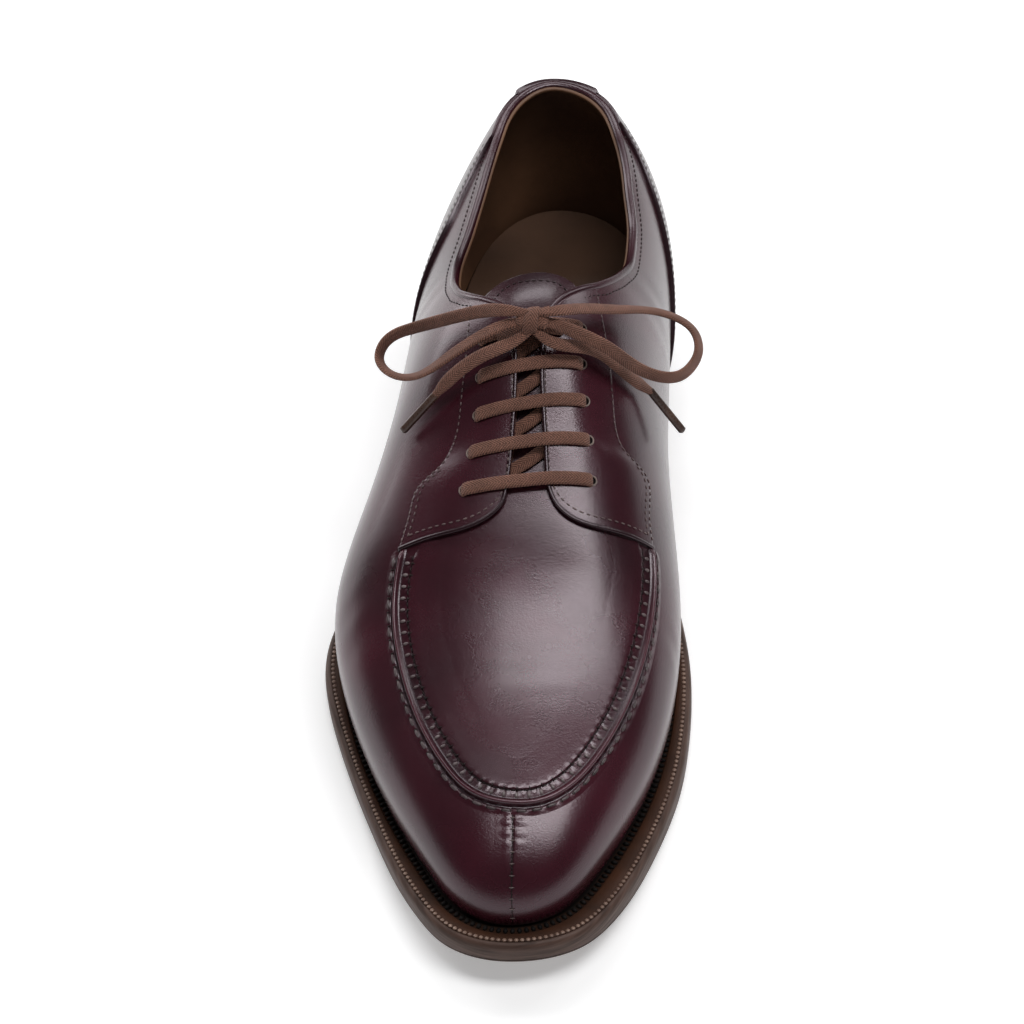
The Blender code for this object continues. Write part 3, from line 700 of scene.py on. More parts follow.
def ribbon(path: Array, side: Array, width: Array, thick: Array, corners: int = 16) -> Form:
    """Carry a flat rounded section along a path.

    Args:
        path: The centre line.
        side: The direction of the section's width at each point.
        width: The section's width, one for all or one at each point.
        thick: The section's thickness, likewise.
        corners: Points round the section.

    Returns:
        The closed form, with its run and breadth as the weave value.
    """
    along = unit(np.gradient(path, axis=0))
    across = unit(side - np.sum(side * along, axis=1, keepdims=True) * along)
    top = np.cross(across, along)
    angle = np.linspace(0.0, 2.0 * np.pi, corners, endpoint=False)
    half = np.broadcast_to(np.asarray(width, float) / 2.0, len(path))[:, None]
    deep = np.broadcast_to(np.asarray(thick, float) / 2.0, len(path))[:, None]
    wide = half * (np.sign(np.cos(angle)) * np.abs(np.cos(angle)) ** 0.55)[None, :]
    high = deep * (np.sign(np.sin(angle)) * np.abs(np.sin(angle)) ** 0.8)[None, :]
    rings = path[:, None, :] + wide[..., None] * across[:, None, :] + high[..., None] * top[:, None, :]
    run = run_of(path)
    weave = np.stack([np.repeat(run[:, None], corners, 1), wide, high], axis=-1)
    ends = []
    for ring in (0, -1):
        middle = rings[ring].mean(axis=0)
        bulge = (-along[0] if ring == 0 else along[-1]) * deep[ring] * 0.6
        ends.append(middle + (rings[ring] - middle) * 0.45 + bulge)
    rings = np.concatenate([ends[0][None], rings, ends[1][None]])
    weave = np.concatenate([weave[:1], weave, weave[-1:]])
    return loft(rings, True, {"weave": weave})


class Shade:
    """A material's node tree, with short calls for what the finishes share."""

    def __init__(self, name: str) -> None:
        """Start a material with its Principled shader."""
        self.material = bpy.data.materials.new(name)
        self.material.use_nodes = True
        self.tree = self.material.node_tree
        self.shader = self.tree.nodes["Principled BSDF"]

    def node(self, kind: str, **settings: object) -> bpy.types.Node:
        """Add a node with its settings."""
        made = self.tree.nodes.new(kind)
        for key, value in settings.items():
            setattr(made, key, value)
        return made

    def feed(self, socket: bpy.types.NodeSocket, value: object) -> None:
        """Link an output to a socket, or set the socket's own value."""
        if isinstance(value, bpy.types.NodeSocket):
            self.tree.links.new(value, socket)
        else:
            socket.default_value = value

    def put(self, kind: str, output: object, inputs: Dict[object, object],
            **settings: object) -> bpy.types.NodeSocket:
        """Add a node and feed its inputs.

        Args:
            kind: The node's type.
            output: The name or number of the output wanted.
            inputs: Values and outputs for its inputs, by name or number.
            settings: The node's own settings.

        Returns:
            The output.
        """
        made = self.node(kind, **settings)
        for key, value in inputs.items():
            self.feed(made.inputs[key], value)
        return made.outputs[output]

    def where(self, stretch: Tuple[float, float, float] = (1.0, 1.0, 1.0)) -> bpy.types.NodeSocket:
        """Return the object's own coordinates, stretched."""
        coordinates = self.put("ShaderNodeTexCoord", "Object", {})
        if stretch == (1.0, 1.0, 1.0):
            return coordinates
        return self.put("ShaderNodeMapping", "Vector", {"Scale": stretch, "Vector": coordinates})

    def noise(self, where: bpy.types.NodeSocket, scale: float, detail: float = 3.0) -> bpy.types.NodeSocket:
        """Return a noise value."""
        return self.put("ShaderNodeTexNoise", "Fac", {"Scale": scale, "Detail": detail, "Vector": where})

    def cells(self, where: bpy.types.NodeSocket, scale: float) -> bpy.types.NodeSocket:
        """Return a smooth cell distance."""
        inputs = {"Scale": scale, "Smoothness": 0.6, "Vector": where}
        return self.put("ShaderNodeTexVoronoi", "Distance", inputs, feature="SMOOTH_F1")

    def math(self, kind: str, first: object, second: object = 0.0) -> bpy.types.NodeSocket:
        """Return the result of a sum on two values."""
        return self.put("ShaderNodeMath", 0, {0: first, 1: second}, operation=kind)

    def span(self, value: bpy.types.NodeSocket, source: Tuple[float, float],
             target: Tuple[float, float]) -> bpy.types.NodeSocket:
        """Return a value carried from one range to another."""
        ends = dict(zip(("From Min", "From Max", "To Min", "To Max"), source + target))
        return self.put("ShaderNodeMapRange", "Result", {"Value": value, **ends})

    def mix(self, share: object, first: object, second: object) -> bpy.types.NodeSocket:
        """Return a colour between two."""
        ends = [end if isinstance(end, bpy.types.NodeSocket) else (*end, 1.0) for end in (first, second)]
        return self.put("ShaderNodeMix", 2, {0: share, 6: ends[0], 7: ends[1]}, data_type="RGBA")

    def value_of(self, name: str) -> bpy.types.Node:
        """Return the node of a value kept at the mesh's points."""
        return self.node("ShaderNodeAttribute", attribute_name=name)

    def bump(self, height: bpy.types.NodeSocket, strength: float, distance: float) -> None:
        """Roughen the shader's normal by a height."""
        inputs = {"Strength": strength, "Distance": distance, "Height": height}
        self.set(Normal=self.put("ShaderNodeBump", "Normal", inputs))

    def set(self, **numbers: object) -> None:
        """Set or link the shader's sockets by name, with underscores for spaces."""
        for key, value in numbers.items():
            self.feed(self.shader.inputs[key.replace("_", " ")], value)


@dataclass(frozen=True)
class Finish:
    """A finish: a record slot and a material made once."""

    name: str
    slot: str

    def dress(self, shade: Shade) -> None:
        """Build the material's nodes."""
        raise NotImplementedError

    def material(self) -> bpy.types.Material:
        """Return the finish's material, made at first use."""
        found = bpy.data.materials.get(self.name)
        if found is None:
            shade = Shade(self.name)
            self.dress(shade)
            found = shade.material
        return found


Colour = Tuple[float, float, float]


@dataclass(frozen=True)
class Leather(Finish):
    """A grained, dyed and polished leather, darkened by its polish and by painted shade, lightened by painted
    highlights.
    """

    deep: Colour
    light: Colour
    rough: float = 0.26
    coat: float = 0.20
    grain: float = 1600.0
    relief: float = 0.15
    specular: float = 0.5
    polish: Colour = (1.0, 1.0, 1.0)

    def dress(self, shade: Shade) -> None:
        """Build mottled colour, uneven gloss and a grain of cells and wrinkles."""
        where = shade.where()
        lengthwise = shade.where((0.85, 1.15, 1.1))
        tone = shade.noise(where, 26.0, 4.0)
        burnish_and_painted_light = shade.value_of("burnish_and_painted_light").outputs["Fac"]
        fine = shade.noise(lengthwise, self.grain * 1.9, 3.0)
        cells = shade.cells(lengthwise, self.grain)
        share = shade.math("SUBTRACT", shade.span(tone, (0.3, 0.7), (0.15, 0.95)), burnish_and_painted_light)
        colour = shade.mix(shade.math("MAXIMUM", share, 0.0), self.deep, self.light)
        speck = shade.span(fine, (0.35, 0.7), (0.0, 0.22))
        shade.set(Base_Color=shade.mix(speck, colour, self.deep), Coat_Weight=self.coat, Coat_Roughness=0.16,
                  Specular_IOR_Level=self.specular, Specular_Tint=(*self.polish, 1.0))
        gloss = shade.noise(where, 70.0, 3.0)
        shade.set(Roughness=shade.span(gloss, (0.3, 0.7), (self.rough - 0.015, self.rough + 0.02)))
        height = shade.math("ADD", shade.math("MULTIPLY", cells, 0.5), shade.math("MULTIPLY", fine, 0.7))
        shade.bump(height, self.relief, 0.0004)


@dataclass(frozen=True)
class EdgeLeather(Finish):
    """The cut edge of a sole, stained and waxed, with fine lines along its layers."""

    deep: Colour
    light: Colour
    rough: float = 0.45
    coat: float = 0.05
    contrast: float = 0.6

    def dress(self, shade: Shade) -> None:
        """Build streaks that lie along the sole, darker for dark polish and painted shade, lighter for wear
        and painted highlights.
        """
        layers = shade.where((1.0, 1.0, 14.0))
        streak = shade.noise(layers, 85.0, 5.0)
        pore = shade.noise(shade.where(), 1500.0, 2.0)
        burnish_and_painted_light = shade.value_of("burnish_and_painted_light").outputs["Fac"]
        light = shade.span(streak, (0.25, 0.75), (0.95 - self.contrast, 0.95))
        share = shade.math("SUBTRACT", light, burnish_and_painted_light)
        shade.set(Base_Color=shade.mix(shade.math("MAXIMUM", share, 0.0), self.deep, self.light),
                  Roughness=shade.span(streak, (0.3, 0.7), (self.rough + 0.08, self.rough - 0.06)),
                  Coat_Weight=self.coat, Coat_Roughness=0.25, Specular_IOR_Level=0.2 + 2.0 * self.coat)
        height = shade.math("ADD", shade.math("MULTIPLY", streak, 0.7), shade.math("MULTIPLY", pore, 0.3))
        shade.bump(height, 0.2, 0.0004)


@dataclass(frozen=True)
class Woven(Finish):
    """A flat braided cord, read from its run and breadth."""

    deep: Colour
    light: Colour
    strand: float = 0.9

    def dress(self, shade: Shade) -> None:
        """Build crossing strands with a little fuzz."""
        parts = shade.node("ShaderNodeSeparateXYZ")
        shade.feed(parts.inputs[0], shade.value_of("weave").outputs["Vector"])
        turn = 2.0 * math.pi / self.strand
        along = shade.math("MULTIPLY", parts.outputs["X"], turn)
        across = shade.math("MULTIPLY", shade.math("ABSOLUTE", parts.outputs["Y"]), turn * 1.1)
        right = shade.math("SINE", shade.math("ADD", along, across))
        left = shade.math("COSINE", shade.math("MULTIPLY", across, 1.6))
        weave = shade.math("ADD", shade.math("MULTIPLY", right, 0.75), shade.math("MULTIPLY", left, 0.25))
        fuzz = shade.noise(shade.where(), 2600.0, 2.0)
        patch = shade.noise(shade.where(), 160.0, 2.0)
        strands = shade.span(weave, (-1.0, 1.0), (0.0, 0.75))
        share = shade.math("ADD", strands, shade.span(fuzz, (0.3, 0.7), (-0.2, 0.3)))
        share = shade.math("MULTIPLY", share, shade.span(patch, (0.3, 0.7), (0.75, 1.15)))
        shade.set(Base_Color=shade.mix(share, self.deep, self.light), Sheen_Weight=0.08, Sheen_Roughness=0.5,
                  Roughness=shade.span(fuzz, (0.3, 0.7), (0.68, 0.85)), Specular_IOR_Level=0.3)
        shade.bump(shade.math("ADD", weave, shade.math("MULTIPLY", fuzz, 0.6)), 0.55, 0.0003)


@dataclass(frozen=True)
class Thread(Finish):
    """A small plain piece: waxed thread, a rib of leather, rubber, plastic or brass."""

    deep: Colour
    light: Colour
    rough: float = 0.5
    specular: float = 0.5

    def dress(self, shade: Shade) -> None:
        """Build slight unevenness of colour, gloss and surface."""
        fine = shade.noise(shade.where(), 1900.0, 2.0)
        broad = shade.noise(shade.where(), 130.0, 2.0)
        shade.set(Base_Color=shade.mix(shade.span(broad, (0.3, 0.7), (0.0, 1.0)), self.deep, self.light),
                  Roughness=shade.span(fine, (0.3, 0.7), (self.rough - 0.07, self.rough + 0.07)),
                  Specular_IOR_Level=self.specular)
        shade.bump(fine, 0.12, 0.0002)


@dataclass(frozen=True)
class Ground(Finish):
    """The pale studio floor."""

    colour: Colour
    glow: float = 0.34

    def dress(self, shade: Shade) -> None:
        """Set a plain matt surface that glows faintly, as a light table does."""
        shade.set(Base_Color=(*self.colour, 1.0), Roughness=0.9, Specular_IOR_Level=0.1,
                  Emission_Color=(1.0, 1.0, 1.0, 1.0), Emission_Strength=self.glow)


BURGUNDY = Leather("burgundy", "burgundy_leather", (0.0125, 0.0015, 0.0036), (0.056, 0.0063, 0.0145),
                   specular=0.54, polish=(1.0, 0.87, 0.945))
LINING = Leather("tan_lining", "insole_leather", (0.075, 0.033, 0.016), (0.235, 0.115, 0.058),
                 rough=0.55, coat=0.03, grain=1300.0, relief=0.1)
SOCK = Leather("insole_sock", "insole_leather", (0.040, 0.018, 0.009), (0.115, 0.056, 0.030),
               rough=0.5, coat=0.05, relief=0.1)
WELT_STRIP = EdgeLeather("welt_strip", "welt_leather", (0.006, 0.004, 0.003), (0.062, 0.023, 0.011),
                         rough=0.55, coat=0.0, contrast=0.5)
SOLE_CUT = EdgeLeather("sole_edge", "sole_leather", (0.029, 0.016, 0.012), (0.120, 0.070, 0.055),
                       rough=0.5, coat=0.0, contrast=0.8)
HEEL_CUT = EdgeLeather("heel_edge", "heel_leather", (0.024, 0.014, 0.010), (0.085, 0.052, 0.038))
RUBBER = Thread("heel_rubber", "top_lift_rubber", (0.014, 0.013, 0.013), (0.026, 0.024, 0.024), 0.72)
BRASS = Thread("lift_nail", "top_lift_rubber", (0.20, 0.13, 0.06), (0.34, 0.23, 0.10), 0.35)
LACE = Woven("lace_braid", "lace_cotton", (0.052, 0.0215, 0.0147), (0.335, 0.157, 0.110))
AGLET = Thread("aglet", "aglet_plastic", (0.040, 0.019, 0.014), (0.080, 0.040, 0.027), 0.3)
SEAM_THREAD = Thread("seam_thread", "burgundy_leather", (0.055, 0.035, 0.034), (0.150, 0.105, 0.100), 0.42)
DARK_THREAD = Thread("dark_thread", "burgundy_leather", (0.007, 0.004, 0.004), (0.020, 0.012, 0.011),
                     0.55, 0.25)
RIB_LEATHER = Thread("seam_rib", "burgundy_leather", (0.075, 0.050, 0.052), (0.190, 0.150, 0.152), 0.32)
WELT_THREAD = Thread("welt_thread", "welt_leather", (0.004, 0.003, 0.003), (0.010, 0.007, 0.006), 0.7, 0.15)
WHEEL_MARK = Thread("wheel_mark", "welt_leather", (0.140, 0.078, 0.056), (0.310, 0.200, 0.150), 0.4)
BEAD_LEATHER = Thread("seam_bead", "burgundy_leather", (0.030, 0.016, 0.018), (0.095, 0.070, 0.072), 0.32)
# Pale hole rims: a painted highlight on the punched holes' edges.
HOLE_RIM_HIGHLIGHT = Thread("hole_rim_highlight", "burgundy_leather", (0.100, 0.066, 0.054), (0.240, 0.185, 0.160), 0.4)
# Near-black hole middles: painted shade filling the punched holes.
HOLE_SHADE = Thread("hole_painted_shade", "burgundy_leather", (0.003, 0.002, 0.002), (0.006, 0.004, 0.004), 0.8, 0.05)
FLOOR = Ground("studio_floor", "", (0.90, 0.90, 0.905))


@dataclass(frozen=True)
class RowShape:
    """The size and spacing of the grains in a row, in millimetres."""

    pitch: float
    length: float
    width: float
    height: float


class RowTree:
    """Geometry nodes that set a rounded grain at even steps along paths."""

    inputs = ("Pitch", "Length", "Width", "Height")

    def __init__(self) -> None:
        """Build the tree with its named inputs."""
        tree = bpy.data.node_groups.new("Row along a path", "GeometryNodeTree")
        face, new = tree.interface, tree.nodes.new
        face.new_socket("Geometry", in_out="INPUT", socket_type="NodeSocketGeometry")
        for name in self.inputs:
            face.new_socket(name, in_out="INPUT", socket_type="NodeSocketFloat")
        face.new_socket("Finish", in_out="INPUT", socket_type="NodeSocketMaterial")
        face.new_socket("Geometry", in_out="OUTPUT", socket_type="NodeSocketGeometry")
        source = new("NodeGroupInput")
        result = new("NodeGroupOutput")
        curve = new("GeometryNodeMeshToCurve")
        resample = new("GeometryNodeResampleCurve")
        resample.mode = "LENGTH"
        grain = new("GeometryNodeMeshUVSphere")
        grain.inputs["Segments"].default_value = 6
        grain.inputs["Rings"].default_value = 4
        grain.inputs["Radius"].default_value = 0.5
        size = new("ShaderNodeCombineXYZ")
        tangent = new("GeometryNodeInputTangent")
        up = new("GeometryNodeInputNamedAttribute")
        up.data_type = "FLOAT_VECTOR"
        up.inputs["Name"].default_value = "up"
        along = new("FunctionNodeAlignRotationToVector")
        along.axis = "X"
        upright = new("FunctionNodeAlignRotationToVector")
        upright.axis = "Z"
        upright.pivot_axis = "X"
        scatter = new("GeometryNodeInstanceOnPoints")
        realize = new("GeometryNodeRealizeInstances")
        smooth = new("GeometryNodeSetShadeSmooth")
        dress = new("GeometryNodeSetMaterial")
        for start, given, end, taken in (
            (source, "Geometry", curve, "Mesh"),
            (curve, "Curve", resample, "Curve"),
            (source, "Pitch", resample, "Length"),
            (resample, "Curve", scatter, "Points"),
            (grain, "Mesh", scatter, "Instance"),
            (source, "Length", size, "X"),
            (source, "Width", size, "Y"),
            (source, "Height", size, "Z"),
            (size, "Vector", scatter, "Scale"),
            (tangent, "Tangent", along, "Vector"),
            (along, "Rotation", upright, "Rotation"),
            (up, "Attribute", upright, "Vector"),
            (upright, "Rotation", scatter, "Rotation"),
            (scatter, "Instances", realize, "Geometry"),
            (realize, "Geometry", smooth, "Geometry"),
            (smooth, "Geometry", dress, "Geometry"),
            (source, "Finish", dress, "Material"),
            (dress, "Geometry", result, "Geometry"),
        ):
            tree.links.new(start.outputs[given], end.inputs[taken])
        self.tree = tree

    def run(self, holder: bpy.types.Object, shape: RowShape, material: bpy.types.Material) -> bpy.types.Mesh:
        """Evaluate the tree on an object of bare edges.

        Args:
            holder: The object whose edges are the paths.
            shape: The grain's size and spacing.
            material: The grain's material.

        Returns:
            A plain mesh of the grains.
        """
        modifier = holder.modifiers.new("Row", "NODES")
        modifier.node_group = self.tree
        wanted = dict(zip(self.inputs, (shape.pitch, shape.length, shape.width, shape.height)))
        for item in self.tree.interface.items_tree:
            if item.item_type != "SOCKET" or item.in_out != "INPUT":
                continue
            if item.name in wanted:
                modifier[item.identifier] = wanted[item.name] * MM
            elif item.name == "Finish":
                modifier[item.identifier] = material
        bpy.context.view_layer.update()
        graph = bpy.context.evaluated_depsgraph_get()
        mesh = bpy.data.meshes.new_from_object(holder.evaluated_get(graph), depsgraph=graph)
        holder.modifiers.remove(modifier)
        return mesh


def put_in_scene(name: str, data: bpy.types.ID) -> bpy.types.Object:
    """Add an object with its data to the scene, and return it."""
    made = bpy.data.objects.new(name, data)
    bpy.context.scene.collection.objects.link(made)
    return made


class Workshop:
    """Makes the pieces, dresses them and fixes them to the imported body."""

    def __init__(self, last: Last) -> None:
        """Keep the last and the row tree."""
        self.last = last
        self.rows = RowTree()

    def fix(self, piece: bpy.types.Object, nodes: Sequence[str]) -> bpy.types.Object:
        """Fix a piece to the body, hide the imported nodes it stands for, and log its face count."""
        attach(piece, BODY)
        if nodes:
            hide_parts(*nodes)
        LOG.info("%s: %d faces", piece.name, len(piece.data.polygons))
        return piece

    def add(self, name: str, form: Form, finish: Finish, nodes: Sequence[str] = (),
            sharp: float = 50.0) -> bpy.types.Object:
        """Make a piece from a form.

        Args:
            name: The piece's name.
            form: Its closed points and faces.
            finish: Its finish.
            nodes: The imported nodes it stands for.
            sharp: The angle past which an edge stays sharp, in degrees.

        Returns:
            The piece.
        """
        mesh = bpy.data.meshes.new(name)
        mesh.from_pydata(self.last.place(form.points).tolist(), [], form.faces)
        work = bmesh.new()
        work.from_mesh(mesh)
        bmesh.ops.recalc_face_normals(work, faces=work.faces[:])
        work.to_mesh(mesh)
        work.free()
        for key, value in form.values.items():
            if value.ndim == 1:
                mesh.attributes.new(key, "FLOAT", "POINT").data.foreach_set("value", value.astype(np.float32))
            else:
                flat = value.astype(np.float32).ravel()
                mesh.attributes.new(key, "FLOAT_VECTOR", "POINT").data.foreach_set("vector", flat)
        mesh.shade_smooth()
        mesh.set_sharp_from_angle(angle=math.radians(sharp))
        mesh.materials.append(finish.material())
        return self.fix(put_in_scene(name, mesh), nodes)

    def row(self, name: str, lines: Sequence[Tuple[Array, Array]], shape: RowShape,
            finish: Finish) -> bpy.types.Object:
        """Make one piece of rows of grains.

        Args:
            name: The piece's name.
            lines: Paths, each with its up directions.
            shape: The grain's size and spacing.
            finish: The grains' finish.

        Returns:
            The piece.
        """
        points = np.concatenate([line[0] for line in lines])
        ups = np.concatenate([line[1] for line in lines])
        edges: List[Tuple[int, int]] = []
        start = 0
        for line in lines:
            edges += [(start + i, start + i + 1) for i in range(len(line[0]) - 1)]
            start += len(line[0])
        bare = bpy.data.meshes.new(name + "_paths")
        bare.from_pydata(self.last.place(points).tolist(), edges, [])
        flat = ups.astype(np.float32).ravel()
        bare.attributes.new("up", "FLOAT_VECTOR", "POINT").data.foreach_set("vector", flat)
        holder = put_in_scene(name + "_paths", bare)
        mesh = self.rows.run(holder, shape, finish.material())
        bpy.data.objects.remove(holder, do_unlink=True)
        mesh.name = name
        mesh.materials.clear()
        mesh.materials.append(finish.material())
        return self.fix(put_in_scene(name, mesh), ())


@dataclass
class UpperShell:
    """The leather upper, its lining and the rolled binding of its topline."""

    leather: float = 1.2
    lining: float = 2.35
    lining_gap: float = 0.05
    columns: int = 64
    binding: float = 1.25
    binding_start: float = 172.0
    binding_depth: float = 0.75
    lining_roll: float = 1.5
    rim_points: int = 420
    stitch_drop: float = 3.4
    stitch: RowShape = RowShape(2.0, 1.45, 0.5, 0.45)

    spans = (
        # first station, last station, count
        (32.0, 123.4, 78), (124.4, 127.4, 4), (127.6, 132.0, 14), (133.0, 172.0, 28), (172.8, 206.0, 38),
        (207.0, 283.0, 50),
    )
    creases = (
        # station, share, half length in share, half width in mm, depth, slant
        (73.0, 0.10, 0.17, 2.6, 0.03, 9.0),
        (81.0, -0.03, 0.19, 3.0, 0.04, -8.0),
        (88.5, 0.14, 0.16, 2.4, 0.03, 11.0),
        (107.5, 0.13, 0.13, 2.8, 0.03, 8.0),
        (111.5, -0.09, 0.12, 2.6, 0.03, -9.0),
        (92.0, -0.56, 0.10, 3.5, 0.12, 10.0),
        (104.5, -0.54, 0.12, 3.2, 0.11, 16.0),
        (99.0, 0.66, 0.10, 3.0, 0.12, -12.0),
        (205.0, 0.56, 0.20, 3.0, 0.10, 12.0),
        (213.5, 0.54, 0.16, 2.6, 0.08, 7.0),
        (203.0, -0.55, 0.18, 3.2, 0.09, 12.0),
        (212.0, -0.57, 0.15, 2.8, 0.07, 6.0),
    )

    def relief(self, station: Array, share: Array) -> Array:
        """Work out how far the worn leather stands off the last, in soft troughs and ridges.

        Args:
            station: Stations of the points.
            share: Their signed shares.

        Returns:
            Heights in millimetres.
        """
        height = np.zeros(np.broadcast(station, share).shape)
        for at, down, reach, width, depth, slant in self.creases:
            run = (share - down) / reach
            across = (station - at - slant * (share - down)) / width
            fade = np.exp(-run ** 2 * 1.4)
            height += depth * fade * (0.55 * bell(np.abs(across) - 1.7, 0.9) - bell(across, 1.0))
        return height

    @staticmethod
    def tone(station: Array, share: Array) -> Array:
        """Return how much darker the leather is: polished darker at the toe and the back, and darker near the
        feather.
        """
        dark = 0.3 * smooth_step(0.84, 1.0, np.abs(share)) + 0.12 * (1.0 - smooth_step(9.0, 44.0, station))
        return dark + 0.3 * smooth_step(240.0, 296.0, station)

    def stations(self) -> Array:
        """Return the mesh's stations, crowded at the toe, the throat and the back."""
        toe = SHOE.station_at(np.linspace(0.0, float(SHOE.turn_at(31.0)), 34))
        back = SHOE.station_at(np.linspace(float(SHOE.turn_at(284.0)), np.pi, 18))
        return np.concatenate([toe] + [np.linspace(*span) for span in self.spans] + [back])

    def sheet(self, outside: float, inside: float, worn: bool, step: int) -> Form:
        """Make one closed layer, open at throat, collar and underneath.

        Args:
            outside: The offset of its outer face.
            inside: The offset of its inner face.
            worn: Whether it is creased.
            step: How many stations and columns to go on at a time.

        Returns:
            The closed form.
        """
        stations = self.stations()[::step]
        if stations[-1] < SHOE.last:
            stations = np.r_[stations, SHOE.last]
        columns = self.columns // step
        outer: List[Array] = []
        inner: List[Array] = []
        burnish_and_painted_light: List[Array] = []
        faces: List[Array] = []
        for side in Side:
            edge = SHOE.opening[side](stations)[:, None]
            down = edge + (1.0 - edge) * np.linspace(0.0, 1.0, columns + 1)[None, :]
            rows = np.repeat(stations[:, None], columns + 1, 1)
            share = side.value * down
            lift = self.relief(rows, share) if worn else np.zeros(share.shape)
            start = sum(len(part) for part in outer)
            outer.append(SHOE.skin(rows, share, outside + lift).reshape(-1, 3))
            inner.append(SHOE.skin(rows, share, np.full(share.shape, inside)).reshape(-1, 3))
            burnish_and_painted_light.append(self.tone(rows, share).ravel())
            quads = grid_faces(len(stations), columns + 1) + start
            faces.append(quads if side is Side.OUTER else quads[:, ::-1])
        return close_sheet(np.concatenate(outer), np.concatenate(inner), np.concatenate(faces),
                           {"burnish_and_painted_light": np.concatenate(burnish_and_painted_light)})

    def topline(self, drop: float, first: float = 175.0) -> Array:
        """Trace a line round the collar.

        Args:
            drop: The distance below the collar's edge.
            first: The station where the line starts and ends.

        Returns:
            Rows of station and share.
        """
        back = SHOE.station_at(np.linspace(float(SHOE.turn_at(284.5)), np.pi, 30))
        chain = np.r_[np.linspace(first, 206.0, 90), np.linspace(207.0, 284.0, 90), back]
        outer = np.stack([chain, -SHOE.opening[Side.OUTER](chain)], axis=1)
        inner = np.stack([chain, SHOE.opening[Side.INNER](chain)], axis=1)
        line = np.concatenate([outer, inner[-2::-1]])
        if drop == 0.0:
            return line
        moved = []
        for part in (outer, inner):
            base = SHOE.skin(part[:, 0], part[:, 1], 0.0)
            sign = np.sign(part[-1, 1])
            lower = SHOE.skin(part[:, 0], part[:, 1] + sign * 0.01, 0.0)
            step = np.linalg.norm(lower - base, axis=1) / 0.01
            slope = unit(np.gradient(base, axis=0))
            lean = np.sqrt(np.clip(1.0 - np.sum(slope * unit(lower - base), axis=1) ** 2, 0.2, 1.0))
            moved.append(np.stack([part[:, 0], part[:, 1] + sign * drop / step / lean], axis=1))
        return np.concatenate([moved[0], moved[1][-2::-1]])

    def build(self, shop: Workshop) -> None:
        """Make the leather, the lining, the binding and the collar's stitches."""
        shop.add("upper_leather", self.sheet(0.0, -self.leather, True, 1), BURGUNDY, ("upper",))
        shop.add("upper_lining", self.sheet(-self.leather - self.lining_gap, -self.lining, False, 2), LINING)
        line = self.topline(0.0, self.binding_start)
        path, up = SHOE.row_on(line, -self.binding_depth)
        path = even_points(path, self.rim_points)
        up = even_points(up, self.rim_points)
        side = np.cross(unit(np.gradient(path, axis=0)), up)
        form = ribbon(path, side, 2.0 * self.binding, 2.1 * self.binding, 12)
        form.values["burnish_and_painted_light"] = np.full(len(form.points), 0.15)
        shop.add("topline_binding", form, BURGUNDY)
        path = SHOE.skin(line[:, 0], line[:, 1], np.full(len(line), -self.lining))
        path = even_points(path, self.rim_points)
        side = np.cross(unit(np.gradient(path, axis=0)), up)
        form = ribbon(path, side, self.lining_roll, self.lining_roll, 10)
        form.values["burnish_and_painted_light"] = np.zeros(len(form.points))
        shop.add("lining_edge", form, LINING)
        rows = [SHOE.row_on(self.topline(self.stitch_drop), 0.05)]
        shop.row("topline_stitches", rows, self.stitch, DARK_THREAD)


